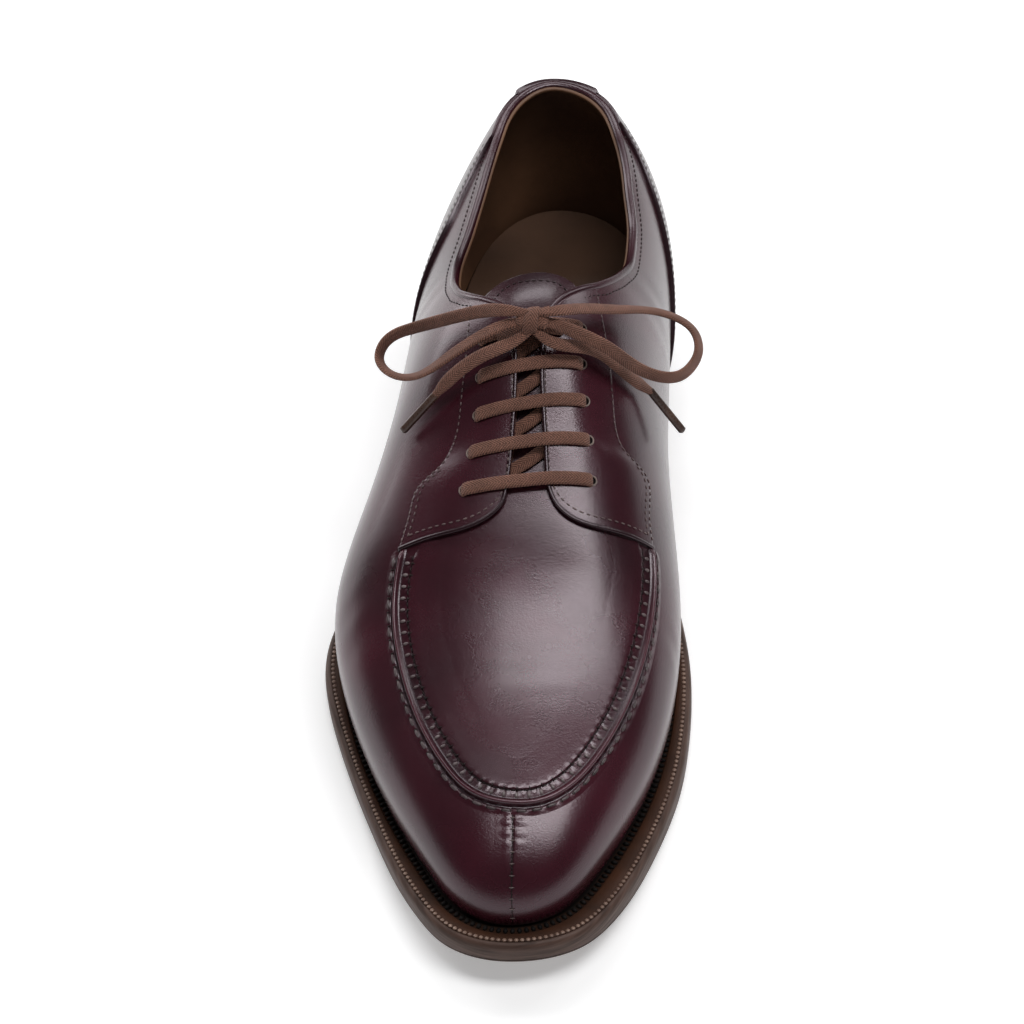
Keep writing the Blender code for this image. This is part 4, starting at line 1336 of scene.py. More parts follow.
@dataclass
class ApronSeam:
    """The raised hand-sewn seam round the apron, with its ladder of ribs and its rows of thread."""

    step: float = 0.45
    depth: float = 0.9
    gather: float = 0.10
    rib_pitch: float = 3.65
    bead_pitch: float = 4.4

    profile = (
        # distance outside the seam line, height
        (-16.0, -0.05), (-13.0, 0.03), (-9.0, 0.20), (-6.3, 0.40), (-5.0, 0.46), (-4.5, 0.40), (-4.15, 0.16),
        (-3.9, 0.0), (-3.4, 0.02), (-2.0, 0.12), (-1.3, 0.28), (-0.85, 0.75), (-0.5, 1.30), (-0.2, 1.55),
        (0.1, 1.55), (0.4, 1.30), (0.7, 0.75), (0.95, 0.25), (1.2, 0.02), (1.45, 0.02), (1.8, 0.16),
        (2.3, 0.28), (2.9, 0.20), (3.7, 0.04), (5.2, -0.10),
    )
    spans = ((-16.0, -4.6, 20), (-4.5, 2.8, 53), (3.0, 5.2, 9))
    rows = (
        # name, distance outside the seam line, height, points cut at the ends, grain, finish
        ("apron_ribs", -2.45, 0.16, (20, 20), RowShape(rib_pitch, 1.15, 2.1, 0.75), RIB_LEATHER),
        ("apron_beads", 2.3, 0.24, (20, 20), RowShape(bead_pitch, 3.7, 1.05, 0.7), BEAD_LEATHER),
        ("apron_inner_thread", -3.97, 0.10, (16, 16), RowShape(rib_pitch / 2, 1.75, 0.42, 0.5), DARK_THREAD),
        ("apron_ties", -4.45, 0.38, (20, 20), RowShape(rib_pitch, 0.42, 1.7, 0.5), DARK_THREAD),
        ("apron_outer_ties", 2.3, 0.22, (25, 20), RowShape(bead_pitch, 0.55, 1.3, 0.75), DARK_THREAD),
    )

    @staticmethod
    def painted_shade_and_highlight(distance: float) -> float:
        """Return the seam's painted shade at a distance outside its line: dark grooves and floor, less a
        lighter crest that is partly the cut edge and partly a painted highlight.
        """
        # painted shade in the two grooves beside the ridge and on the ladder's floor; the crest is made
        # lighter, partly its cut edge and partly a painted highlight
        groove = bell(distance + 3.95, 0.35) + bell(distance - 1.3, 0.4) + 0.6 * bell(distance + 1.25, 0.3)
        floor = 0.2 * (smooth_step(-4.2, -3.6, distance) - smooth_step(-1.6, -0.9, distance))
        return min(1.0, float(0.9 * groove + floor - 0.5 * bell(distance + 0.05, 0.4)))

    def build(self, shop: Workshop) -> None:
        """Make the ridge, the ribs, the beads and the threads."""
        line = SHOE.even_line(APRON_TABLE, self.step)
        table = np.array(self.profile)
        shape = gentle_spline(table[:, 0], table[:, 1])
        run = np.arange(len(line)) * self.step
        fade = smooth_step(2.5, 8.0, run) * smooth_step(2.5, 8.0, run[-1] - run)
        pull = self.gather * np.cos(2.0 * np.pi * run / self.rib_pitch)
        pinch = self.gather * np.cos(2.0 * np.pi * run / self.bead_pitch)
        strip: List[Tuple[Array, Array, Array]] = []
        for distance in spread(self.spans):
            moved = SHOE.beside(line, distance)
            height = float(shape(distance)) + pull * bell(distance + 3.6, 1.2)
            height = height + pinch * bell(distance - 2.3, 0.8)
            ends = np.maximum(fade, float(smooth_step(4.0, 5.5, -distance)))
            # painted shade in the grooves, the crest's painted highlight, and the leather's tone
            dark = self.painted_shade_and_highlight(distance) + UpperShell.tone(moved[:, 0], moved[:, 1])
            strip.append((moved, height * ends - 0.3 * (1.0 - ends), dark))
        shop.add("apron_ridge", laid_strip(strip, self.depth), BURGUNDY, ("apron_seam",))
        for name, distance, height, (first, last), grain, finish in self.rows:
            cut = line[first:len(line) - last]
            shop.row(name, [SHOE.row_on(SHOE.beside(cut, distance), height)], grain, finish)


@dataclass
class SplitToeSeam:
    """The closed seam down the middle of the toe."""

    step: float = 0.4
    half: float = 6.4
    depth: float = 0.8
    gather: float = 0.09
    pitch: float = 3.3
    thread: RowShape = RowShape(1.1, 1.2, 0.42, 0.3)
    tie: RowShape = RowShape(pitch, 0.42, 1.8, 0.35)

    path = ((32.6, 0.020), (28.0, 0.026), (22.0, 0.035), (16.0, 0.048), (11.6, 0.075), (9.6, 0.13),
            (8.9, 0.22), (8.65, 0.36))
    profile = (
        # share of the half width, height
        (-1.0, -0.03), (-0.8, 0.005), (-0.5, 0.07), (-0.25, 0.2), (-0.1, 0.14), (0.0, -0.04), (0.1, 0.14),
        (0.25, 0.2), (0.5, 0.07), (0.8, 0.005), (1.0, -0.03),
    )
    spans = ((-1.0, -0.3, 10), (-0.27, 0.27, 19), (0.3, 1.0, 10))

    def build(self, shop: Workshop) -> None:
        """Make the seam's lips, its thread and the small ties across it."""
        line = SHOE.even_line(self.path, self.step)
        table = np.array(self.profile)
        shape = gentle_spline(table[:, 0], table[:, 1])
        run = np.arange(len(line)) * self.step
        half = self.half * (0.16 + 0.84 * smooth_step(8.8, 20.0, line[:, 0]))
        fade = 0.25 + 0.75 * smooth_step(9.0, 24.0, line[:, 0])
        folds = self.gather * np.cos(2.0 * np.pi * run / self.pitch)
        strip: List[Tuple[Array, Array, Array]] = []
        for reach in spread(self.spans):
            moved = SHOE.beside(line, reach * half)
            pucker = folds * bell(abs(reach) - 0.3, 0.25) * smooth_step(18.0, 31.0, line[:, 0])
            # darker along the middle of the seam: partly the joint's own line, partly painted shade in its
            # groove
            dark = UpperShell.tone(moved[:, 0], moved[:, 1]) + 0.7 * bell(reach, 0.08)
            strip.append((moved, float(shape(reach)) * fade + pucker, dark))
        shop.add("split_toe_lips", laid_strip(strip, self.depth), BURGUNDY)
        shop.row("split_toe_thread", [SHOE.row_on(line[1:], 0.03)], self.thread, DARK_THREAD)
        shop.row("split_toe_ties", [SHOE.row_on(line[5:-3], 0.2)], self.tie, SEAM_THREAD)


@dataclass
class Facing:
    """One lace facing with its rounded front corner, raised at its free edges."""

    side: Side
    name: str
    raised: float = 1.75
    corner: float = 0.75
    flush: float = 0.03
    bury: float = 0.4
    fillet: float = 1.15

    def curves(self) -> Dict[str, Array]:
        """Return fine points along the four edges."""
        rows = {key: np.array(value) * (1.0, 100.0) for key, value in EDGES[self.name].items()}
        return {key: path_points(value, 300) for key, value in rows.items()}

    def patch(self, lengthwise: Array, crosswise: Array) -> Tuple[Array, Array]:
        """Work out places on the facing.

        Args:
            lengthwise: Shares of its length, from its front edge.
            crosswise: Shares of its breadth, from the throat.

        Returns:
            Stations and signed shares.
        """
        edge = self.curves()
        fine = np.linspace(0.0, 1.0, 300)

        def at(key: str, share: Array) -> Array:
            """Return a point of an edge."""
            return np.stack([np.interp(share, fine, edge[key][:, k]) for k in range(2)], axis=-1)

        a = lengthwise[..., None]
        b = crosswise[..., None]
        front, top = edge["front"], edge["top"]
        grid = (1.0 - b) * at("throat", lengthwise) + b * at("side", lengthwise)
        grid = grid + (1.0 - a) * at("front", crosswise) + a * at("top", crosswise)
        grid = grid - (1.0 - a) * ((1.0 - b) * front[0] + b * front[-1])
        grid = grid - a * ((1.0 - b) * top[0] + b * top[-1])
        return grid[..., 0], self.side.value * grid[..., 1] / 100.0

    @staticmethod
    def steps(count: int, size: float) -> Array:
        """Return shares from 0 to 1, crowded at both ends."""
        near = np.array((0.0, 0.12, 0.3, 0.55, 0.85, 1.2, 1.7, 2.4)) / size
        return np.unique(np.r_[near, np.linspace(3.4 / size, 1.0 - 3.4 / size, count), 1.0 - near])

    def build(self, shop: Workshop) -> None:
        """Make the facing, its beaded edge and its stitches."""
        a, b = np.meshgrid(self.steps(44, 62.0), self.steps(22, 22.0), indexing="ij")
        station, share = self.patch(a, b)
        base = SHOE.skin(station, share, 0.0)
        across = np.linalg.norm(np.diff(base, axis=1), axis=2)
        along = np.linalg.norm(np.diff(base, axis=0), axis=2)
        throat = np.pad(np.cumsum(across, axis=1), ((0, 0), (1, 0)))
        side = throat[:, -1:] - throat
        front = np.pad(np.cumsum(along, axis=0), ((1, 0), (0, 0)))
        top = front[-1:] - front
        height = self.top_offset(a, side)
        near = np.minimum(np.minimum(throat, front), np.minimum(side, top))
        offset = -self.bury + (height + self.bury) * rounded(near / self.fillet)
        outer = SHOE.skin(station, share, offset).reshape(-1, 3)
        inner = SHOE.skin(station, share, np.full(station.shape, -self.bury - 0.35)).reshape(-1, 3)
        # darker within a millimetre or so of the throat and front edges: partly the edges' darker finish,
        # partly painted shade on the rounded-down edge
        worn = 0.5 * bell(np.minimum(throat, front), 1.2)
        faces = grid_faces(*station.shape)
        form = close_sheet(outer, inner, faces, {"burnish_and_painted_light": worn.ravel()})
        shop.add(self.name + "_leather", form, BURGUNDY, (self.name,))
        self.stitch(shop)

    def top_offset(self, lengthwise: Array, side: Array) -> Array:
        """Work out the facing's height away from its free edges.

        Args:
            lengthwise: Shares of its length.
            side: Distances from its sewn side.

        Returns:
            Heights above the upper.
        """
        edge = self.flush + (self.corner - self.flush) * (1.0 - smooth_step(0.30, 0.42, lengthwise))
        raised = 0.55 + (self.raised - 0.55) * (1.0 - smooth_step(0.25, 0.95, lengthwise))
        return edge + (raised - edge) * smooth_step(-2.0, 17.0, side)

    def height_at(self, station: float, share: float) -> float:
        """Look up the facing's height.

        Args:
            station: The station of a place on it.
            share: The signed share of the place.

        Returns:
            The height at the nearest point.
        """
        a, b = np.meshgrid(np.linspace(0.0, 1.0, 90), np.linspace(0.0, 1.0, 50), indexing="ij")
        stations, shares = self.patch(a, b)
        base = SHOE.skin(stations, shares, 0.0)
        side = np.linalg.norm(base[:, -1:] - base, axis=2)
        near = np.argmin((stations - station) ** 2 + (100.0 * (shares - share)) ** 2)
        return float(self.top_offset(a, side).ravel()[near])

    def stitch(self, shop: Workshop) -> None:
        """Make the rows of stitches round the free edges and down the eyestay line."""
        fine = np.linspace(0.0, 1.0, 160)
        width = []
        for share in fine:
            station, down = self.patch(np.full(40, share), np.linspace(0.0, 1.0, 40))
            width.append(np.linalg.norm(np.diff(SHOE.skin(station, down, 0.0), axis=0), axis=1).sum())
        width = np.array(width)

        def row(a: Array, b: Array, lift: float) -> Tuple[Array, Array]:
            """Return a stitch row at shares of length and breadth."""
            station, down = self.patch(a, b)
            side = (1.0 - b) * np.interp(a, fine, width)
            line = np.stack([station, down], axis=1)
            return SHOE.row_on(line, self.top_offset(a, side) + lift)

        breadth = 0.5 / np.interp(0.0, fine, width)
        a = np.r_[np.linspace(0.975, 0.02, 150), np.full(60, 0.009)]
        b = np.r_[0.5 / np.interp(a[:150], fine, width), np.linspace(1.4 * breadth, 0.985, 60)]
        path, ups = row(a, b, -0.42)
        path = even_points(path, 240)
        for _ in range(6):
            path[1:-1] = 0.25 * path[:-2] + 0.5 * path[1:-1] + 0.25 * path[2:]
        along = unit(np.gradient(path, axis=0))
        form = ribbon(path, np.cross(along, even_points(ups, 240)), 1.3, 1.3, 12)
        # the bead is darker all round: partly the edge's darker finish, partly painted shade standing in for
        # the shade under the facing's edge
        form.values["burnish_and_painted_light"] = np.full(len(form.points), 0.7)
        shop.add(self.name + "_edge_bead", form, BURGUNDY)
        inset = 2.3
        bend = 0.045
        a = np.linspace(0.985, bend + 0.05, 150)
        down = row(a, inset / np.interp(a, fine, width), 0.05)
        turn = np.linspace(0.0, 1.0, 40)
        b = (inset / np.interp(bend, fine, width)) * (1.0 - turn) + 0.9 * turn
        curve = row(bend * (1.0 + 1.1 * (1.0 - turn) ** 6), b, 0.05)
        shop.row(self.name + "_edge_stitches", [down, curve], RowShape(2.15, 1.55, 0.55, 0.5), SEAM_THREAD)
        a = np.linspace(0.94, 0.04, 200)
        rows = [row(a, 1.0 - 0.9 / np.interp(a, fine, width), 0.08)]
        a = np.linspace(0.30, 0.05, 60)
        rows.append(row(a, 1.0 - 2.9 / np.interp(a, fine, width), 0.08))
        shop.row(self.name + "_side_stitches", rows, RowShape(2.1, 1.4, 0.5, 0.42), SEAM_THREAD)


@dataclass
class HeelCounter:
    """The counter laid round the back, with a small tab at the top of the collar."""

    thick: float = 1.45
    bury: float = 0.4
    fillet: float = 0.9
    row_insets: Tuple[float, float] = (2.0, 4.4)
    row_slope: float = 0.8
    stitch: RowShape = RowShape(2.2, 1.5, 0.42, 0.3)
    tab_start: float = 290.5
    tab_length: float = 0.20
    tab_low: float = 0.4
    tab_edge: float = 0.9
    tab_rise: float = 1.5

    def edge(self, side: Side, share: Array) -> Array:
        """Return the front edge's station at a share of the way down."""
        return gentle_spline(COUNTER_TABLE[:, 0], COUNTER_TABLE[:, side.column])(share)

    def chain(self, side: Side, share: float) -> Array:
        """Return stations from the front edge to the back, a share of the way down."""
        front = float(SHOE.turn_at(float(self.edge(side, share))))
        near = front + np.array((0.0, 0.001, 0.003, 0.006, 0.0095, 0.014, 0.02, 0.03))
        return SHOE.station_at(np.r_[near, np.linspace(front + 0.045, np.pi, 44)])

    @staticmethod
    def down_at(side: Side, station: Array, share: Array) -> Array:
        """Return the signed share of a place that lies a share of the way down from the topline."""
        opening = SHOE.opening[side](station)
        return side.value * (opening + (1.0 - opening) * share)

    @staticmethod
    def round_back(parts: Sequence[Array]) -> Array:
        """Join the outer side's values to the inner side's, from front edge to front edge."""
        return np.r_[parts[0], parts[1][-2::-1]]

    def build(self, shop: Workshop) -> None:
        """Make the counter, its stitches and the tab."""
        strip: List[Tuple[Array, Array, Array]] = []
        for share in np.r_[0.004, np.linspace(0.02, 1.0, 50)]:
            parts = []
            for side in Side:
                station = self.chain(side, float(share))
                down = self.down_at(side, station, share)
                base = SHOE.skin(station, down, 0.0)
                parts.append((station, down, np.linalg.norm(base - base[:1], axis=1)))
            station, down, gone = (self.round_back(pair) for pair in zip(*parts))
            height = -self.bury + (self.thick + self.bury) * rounded(gone / self.fillet)
            # darker than the upper throughout; darker along its front edge, partly the edge's finish and
            # partly painted shade on the step it makes; and darker towards the bottom
            dark = 0.25 + 0.6 * bell(gone, 0.8) + 0.3 * float(smooth_step(0.85, 1.0, share))
            strip.append((np.stack([station, down], axis=1), height, dark))
        form = laid_strip(strip, self.bury + 0.3)
        shop.add("heel_counter_leather", form, BURGUNDY, ("heel_counter",))
        rows = []
        share = np.linspace(0.08, 0.97, 120)
        for inset in self.row_insets:
            for side in Side:
                station = self.edge(side, share) + inset / self.row_slope
                line = np.stack([station, self.down_at(side, station, share)], axis=1)
                rows.append(SHOE.row_on(line, self.thick - 0.05))
        shop.row("counter_stitches", rows, self.stitch, DARK_THREAD)
        self.tab(shop)

    def tab(self, shop: Workshop) -> None:
        """Make the tab over the back of the collar."""
        turns = np.linspace(float(SHOE.turn_at(self.tab_start)), np.pi, 22)
        station = SHOE.station_at(turns)
        gone = (turns - turns[0]) / (np.pi - turns[0])
        length = self.tab_length * np.sqrt(np.clip(gone, 0.12, 1.0))
        strip: List[Tuple[Array, Array, Array]] = []
        for share in np.linspace(0.0, 1.0, 18):
            down = [side.value * (SHOE.opening[side](station) - 0.008 + length * share) for side in Side]
            away = np.minimum(min(share, 1.0 - share) * 12.0, gone * 9.0)
            height = self.tab_edge + self.tab_rise * rounded(away)
            line = np.stack([self.round_back((station, station)), self.round_back(down)], axis=1)
            strip.append((line, self.round_back((height, height)), np.full(len(line), 0.35)))
        shop.add("heel_tab", laid_strip(strip, -self.tab_low), BURGUNDY)


@dataclass
class Tongue:
    """The tongue under the facings, with a stitched turned edge at its top."""

    under: float = 2.35
    thick: float = 1.6
    stitch: RowShape = RowShape(2.0, 1.45, 0.5, 0.42)

    def build(self, shop: Workshop) -> None:
        """Make the tongue and its row of stitches."""
        half = gentle_spline(TONGUE_TABLE[:, 0], TONGUE_TABLE[:, 1])
        stations = station_of(np.linspace(0.0, np.pi, 70), TONGUE_TABLE[0, 0], TONGUE_TABLE[-1, 0])
        across = np.linspace(-1.0, 1.0, 41)
        rows = np.repeat(stations[:, None], len(across), 1)
        share = across[None, :] * half(rows)
        near = np.minimum((1.0 - np.abs(across))[None, :] * half(rows) * 85.0, 196.6 - rows)
        top = -self.under - 0.7 * (1.0 - rounded(near / 0.8))
        outer = SHOE.skin(rows, share, top).reshape(-1, 3)
        inner = SHOE.skin(rows, share, np.full(rows.shape, -self.under - self.thick)).reshape(-1, 3)
        form = close_sheet(outer, inner, grid_faces(*rows.shape), {"burnish_and_painted_light": np.full(len(outer), 0.2)})
        shop.add("tongue_leather", form, BURGUNDY, ("tongue",))
        turn = np.linspace(-1.0, 1.0, 60)
        line = np.stack([191.6 - 8.0 * turn ** 4, 0.165 * turn], axis=1)
        shop.row("tongue_stitches", [SHOE.row_on(line, -self.under + 0.05)], self.stitch, DARK_THREAD)


@dataclass
class Bottom:
    """The insole, welt, outsole, stacked heel and rubber top lift."""

    samples: int = 170
    outsole: float = 5.0
    insole_top: float = 10.8
    wall: float = 2.0
    top_lift: float = 6.0
    breast: float = 228.0
    taper: float = 1.4
    lifts: int = 3
    welt_end: float = 236.0
    welt_points: int = 500
    welt_stitch: RowShape = RowShape(2.0, 1.5, 2.3, 1.4)
    wheel_mark: RowShape = RowShape(1.7, 1.4, 1.4, 0.55)
    nail: RowShape = RowShape(14.0, 2.2, 2.2, 0.7)
    turn: Array = field(init=False)

    welt_rows = (
        # anchor (0 the sole's edge, 1 the band's inner border, 2 the feather line),
        # distance inwards, height, darkening (the darkest rows, at the feather line, are painted shade in the
        # groove under the upper)
        (0, 2.1, 5.4, 0.6), (0, 2.0, 7.2, 0.6), (0, 2.2, 7.55, 0.5), (0, 2.35, 7.82, 0.2),
        (0, 2.6, 7.95, 0.0), (1, -0.35, 7.97, 0.0), (1, -0.15, 7.85, 0.1), (1, 0.0, 7.62, 0.3),
        (1, 0.3, 7.45, 0.4),
        (2, -0.7, 7.4, 0.5), (2, 0.4, 7.3, 1.0), (2, 2.0, 7.3, 1.0), (2, 2.0, 5.3, 1.0),
    )
    sole_rows = (
        # inset from the sole's edge (narrowed with the welt above the sole), height, darkening (negative at
        # the bottom edge: a lighter line, partly wear and partly a painted highlight)
        (9.0, 0.0, 0.0), (6.2, 0.0, 0.0), (5.8, 0.3, 0.7), (5.4, 0.3, 0.7), (5.0, 0.0, 0.0), (2.0, 0.0, 0.1),
        (1.0, 0.04, 0.1), (0.5, 0.14, -0.2), (0.16, 0.4, -0.4), (0.04, 0.8, -0.2), (0.02, 1.0, 0.5),
        (0.13, 1.12, 1.0), (0.13, 1.26, 1.0), (0.02, 1.38, 0.5), (0.0, 1.6, 0.0), (0.0, 2.8, 0.0),
        (0.0, 4.4, 0.0), (0.05, 5.6, 0.0), (0.22, 6.5, 0.0), (0.6, 7.2, 0.0), (1.1, 7.65, 0.0),
        (1.6, 7.86, 0.0), (1.95, 7.88, 0.15), (2.2, 7.7, 0.5), (2.3, 7.4, 0.8), (2.3, 5.4, 0.8),
        (4.0, 5.22, 0.8),
    )
    top_lift_rows = (
        # inset, height
        (0.5, 6.05), (0.32, 5.8), (0.30, 3.0), (0.36, 0.7), (0.6, 0.2), (1.2, 0.0), (5.0, 0.0),
    )

    def __post_init__(self) -> None:
        """Set the angles that the outlines are sampled at."""
        self.turn = np.linspace(0.0, np.pi, self.samples)

    def build(self, shop: Workshop) -> None:
        """Make every layer under the foot."""
        self.insole(shop)
        self.welt(shop)
        self.sole(shop)
        self.heel(shop)

    @staticmethod
    def narrowing(gap: Array) -> Array:
        """Return how far the welt's profile narrows where the welt stands out less."""
        return np.clip(gap / 5.0, 0.35, 1.0)

    @staticmethod
    def lifted(plan: Array, height: float) -> Array:
        """Return a plan's points at a height above the sole's underside."""
        return np.c_[plan, SHOE.sole_bottom(plan[:, 1]) + height]

    def margin(self) -> Tuple[Array, Array, Array]:
        """Return the sole's outline, the unit way in to the feather line, and the distance there."""
        edge = loop_of(SHOE.sole_edge(self.turn, 0.0))
        way = loop_of(SHOE.feather_edge(self.turn, 0.0)) - edge
        gap = np.linalg.norm(way, axis=1, keepdims=True)
        return edge, way / gap, gap

    def insole(self, shop: Workshop) -> None:
        """Make the insole board and its leather sock."""
        rings = []
        for inset, height in ((self.wall + 0.8, 5.3), (self.wall + 0.55, 5.6), (self.wall + 0.55, 10.3),
                              (self.wall + 0.9, self.insole_top), (self.wall + 5.0, self.insole_top - 0.15)):
            rings.append(self.lifted(loop_of(SHOE.feather_edge(self.turn, inset)), height))
        rings = np.stack(rings)
        shop.add("insole_sock", loft(rings, True, {"burnish_and_painted_light": np.zeros(rings.shape[:2])}), SOCK, ("insole",))

    def welt(self, shop: Workshop) -> None:
        """Make the welt, its stitches and its wheel marks."""
        edge, inward, gap = self.margin()
        border = np.maximum(gap - 3.0, 0.6 * gap)
        anchors = (np.zeros_like(gap), border, gap)
        rings = []
        dark = []
        for anchor, distance, height, burnish_and_painted_light in self.welt_rows:
            place = edge + inward * (anchors[anchor] + distance * self.narrowing(gap))
            rings.append(self.lifted(place, height))
            dark.append(np.full(len(place), burnish_and_painted_light))
        rings = np.stack(rings)
        shop.add("welt_strip", loft(rings, False, {"burnish_and_painted_light": np.stack(dark)}), WELT_STRIP, ("welt",))
        shown = np.nonzero(edge[:, 1] < self.welt_end)[0]
        order = np.r_[shown[shown >= len(edge) // 2], shown[shown < len(edge) // 2]]

        def along(distance: Array, height: float) -> Tuple[Array, Array]:
            """Return a line on the welt, a distance from the sole's edge."""
            points = self.lifted((edge + inward * distance)[order], height)
            return even_points(points, self.welt_points), np.tile((0.0, 0.0, 1.0), (self.welt_points, 1))

        middle = 0.6 * border + 0.4 * gap
        shop.row("welt_stitches", [along(middle, 7.55)], self.welt_stitch, WELT_THREAD)
        marks = 2.85 * self.narrowing(gap)
        shop.row("welt_wheel_marks", [along(marks, 7.93)], self.wheel_mark, WHEEL_MARK)

    def sole(self, shop: Workshop) -> None:
        """Make the outsole with its channel line and rounded edge."""
        rings = []
        dark = []
        narrow = self.narrowing(self.margin()[2])
        for inset, height, burnish_and_painted_light in self.sole_rows:
            loop = loop_of(SHOE.sole_edge(self.turn, inset * narrow if height > self.outsole else inset))
            rings.append(self.lifted(loop, height))
            dark.append(np.full(len(loop), burnish_and_painted_light))
        form = loft(np.stack(rings), True, {"burnish_and_painted_light": np.stack(dark)})
        shop.add("outsole_leather", form, SOLE_CUT, ("outsole",))

    def heel_loop(self, inset: float) -> Array:
        """Return the heel's outline in plan, from the breast's outer corner to its inner one."""
        breast = float(turn_of(self.breast, 0.0, SHOE.sole_length))
        whole = np.r_[self.turn[self.turn < breast - 0.02], np.linspace(breast, np.pi, 60)]
        start = len(whole) - 60
        outer, inner = SHOE.sole_edge(whole, inset)
        return np.concatenate([outer[start:], inner[start:][-2::-1]])

    def heel(self, shop: Workshop) -> None:
        """Make the stacked lifts and the rubber top lift."""
        rings = []
        dark = []
        shares = []
        for lift in range(self.lifts):
            low, high = lift / self.lifts, (lift + 1) / self.lifts
            shares += [(low, 0.22, 0.9), (low + 0.025, 0.02, 0.3), (low + 0.17, 0.0, 0.0),
                       (high - 0.025, 0.02, 0.3), (high - 0.003, 0.22, 0.9)]
        for share, notch, burnish_and_painted_light in shares:
            loop = self.heel_loop(0.5 + notch + 0.7 * self.taper * share)
            top = SHOE.sole_bottom(loop[:, 1]) - 0.02
            rings.append(np.c_[loop, top + (self.top_lift + 0.15 - top) * share])
            dark.append(np.full(len(loop), burnish_and_painted_light))
        form = loft(np.stack(rings), True, {"burnish_and_painted_light": np.stack(dark)}, 1)
        shop.add("heel_lifts", form, HEEL_CUT, ("heel_stack",))
        rings = []
        for inset, height in self.top_lift_rows:
            loop = self.heel_loop(0.5 + self.taper * 0.75 + inset)
            rings.append(np.c_[loop, np.full(len(loop), height)])
        shop.add("rubber_top_lift", loft(np.stack(rings), True, None, 1), RUBBER, ("top_lift",))
        loop = self.heel_loop(7.5)
        line = np.c_[loop, np.full(len(loop), 0.12)]
        nails = (even_points(line, 200), np.tile((0.0, 0.0, -1.0), (200, 1)))
        shop.row("top_lift_nails", [nails], self.nail, BRASS)


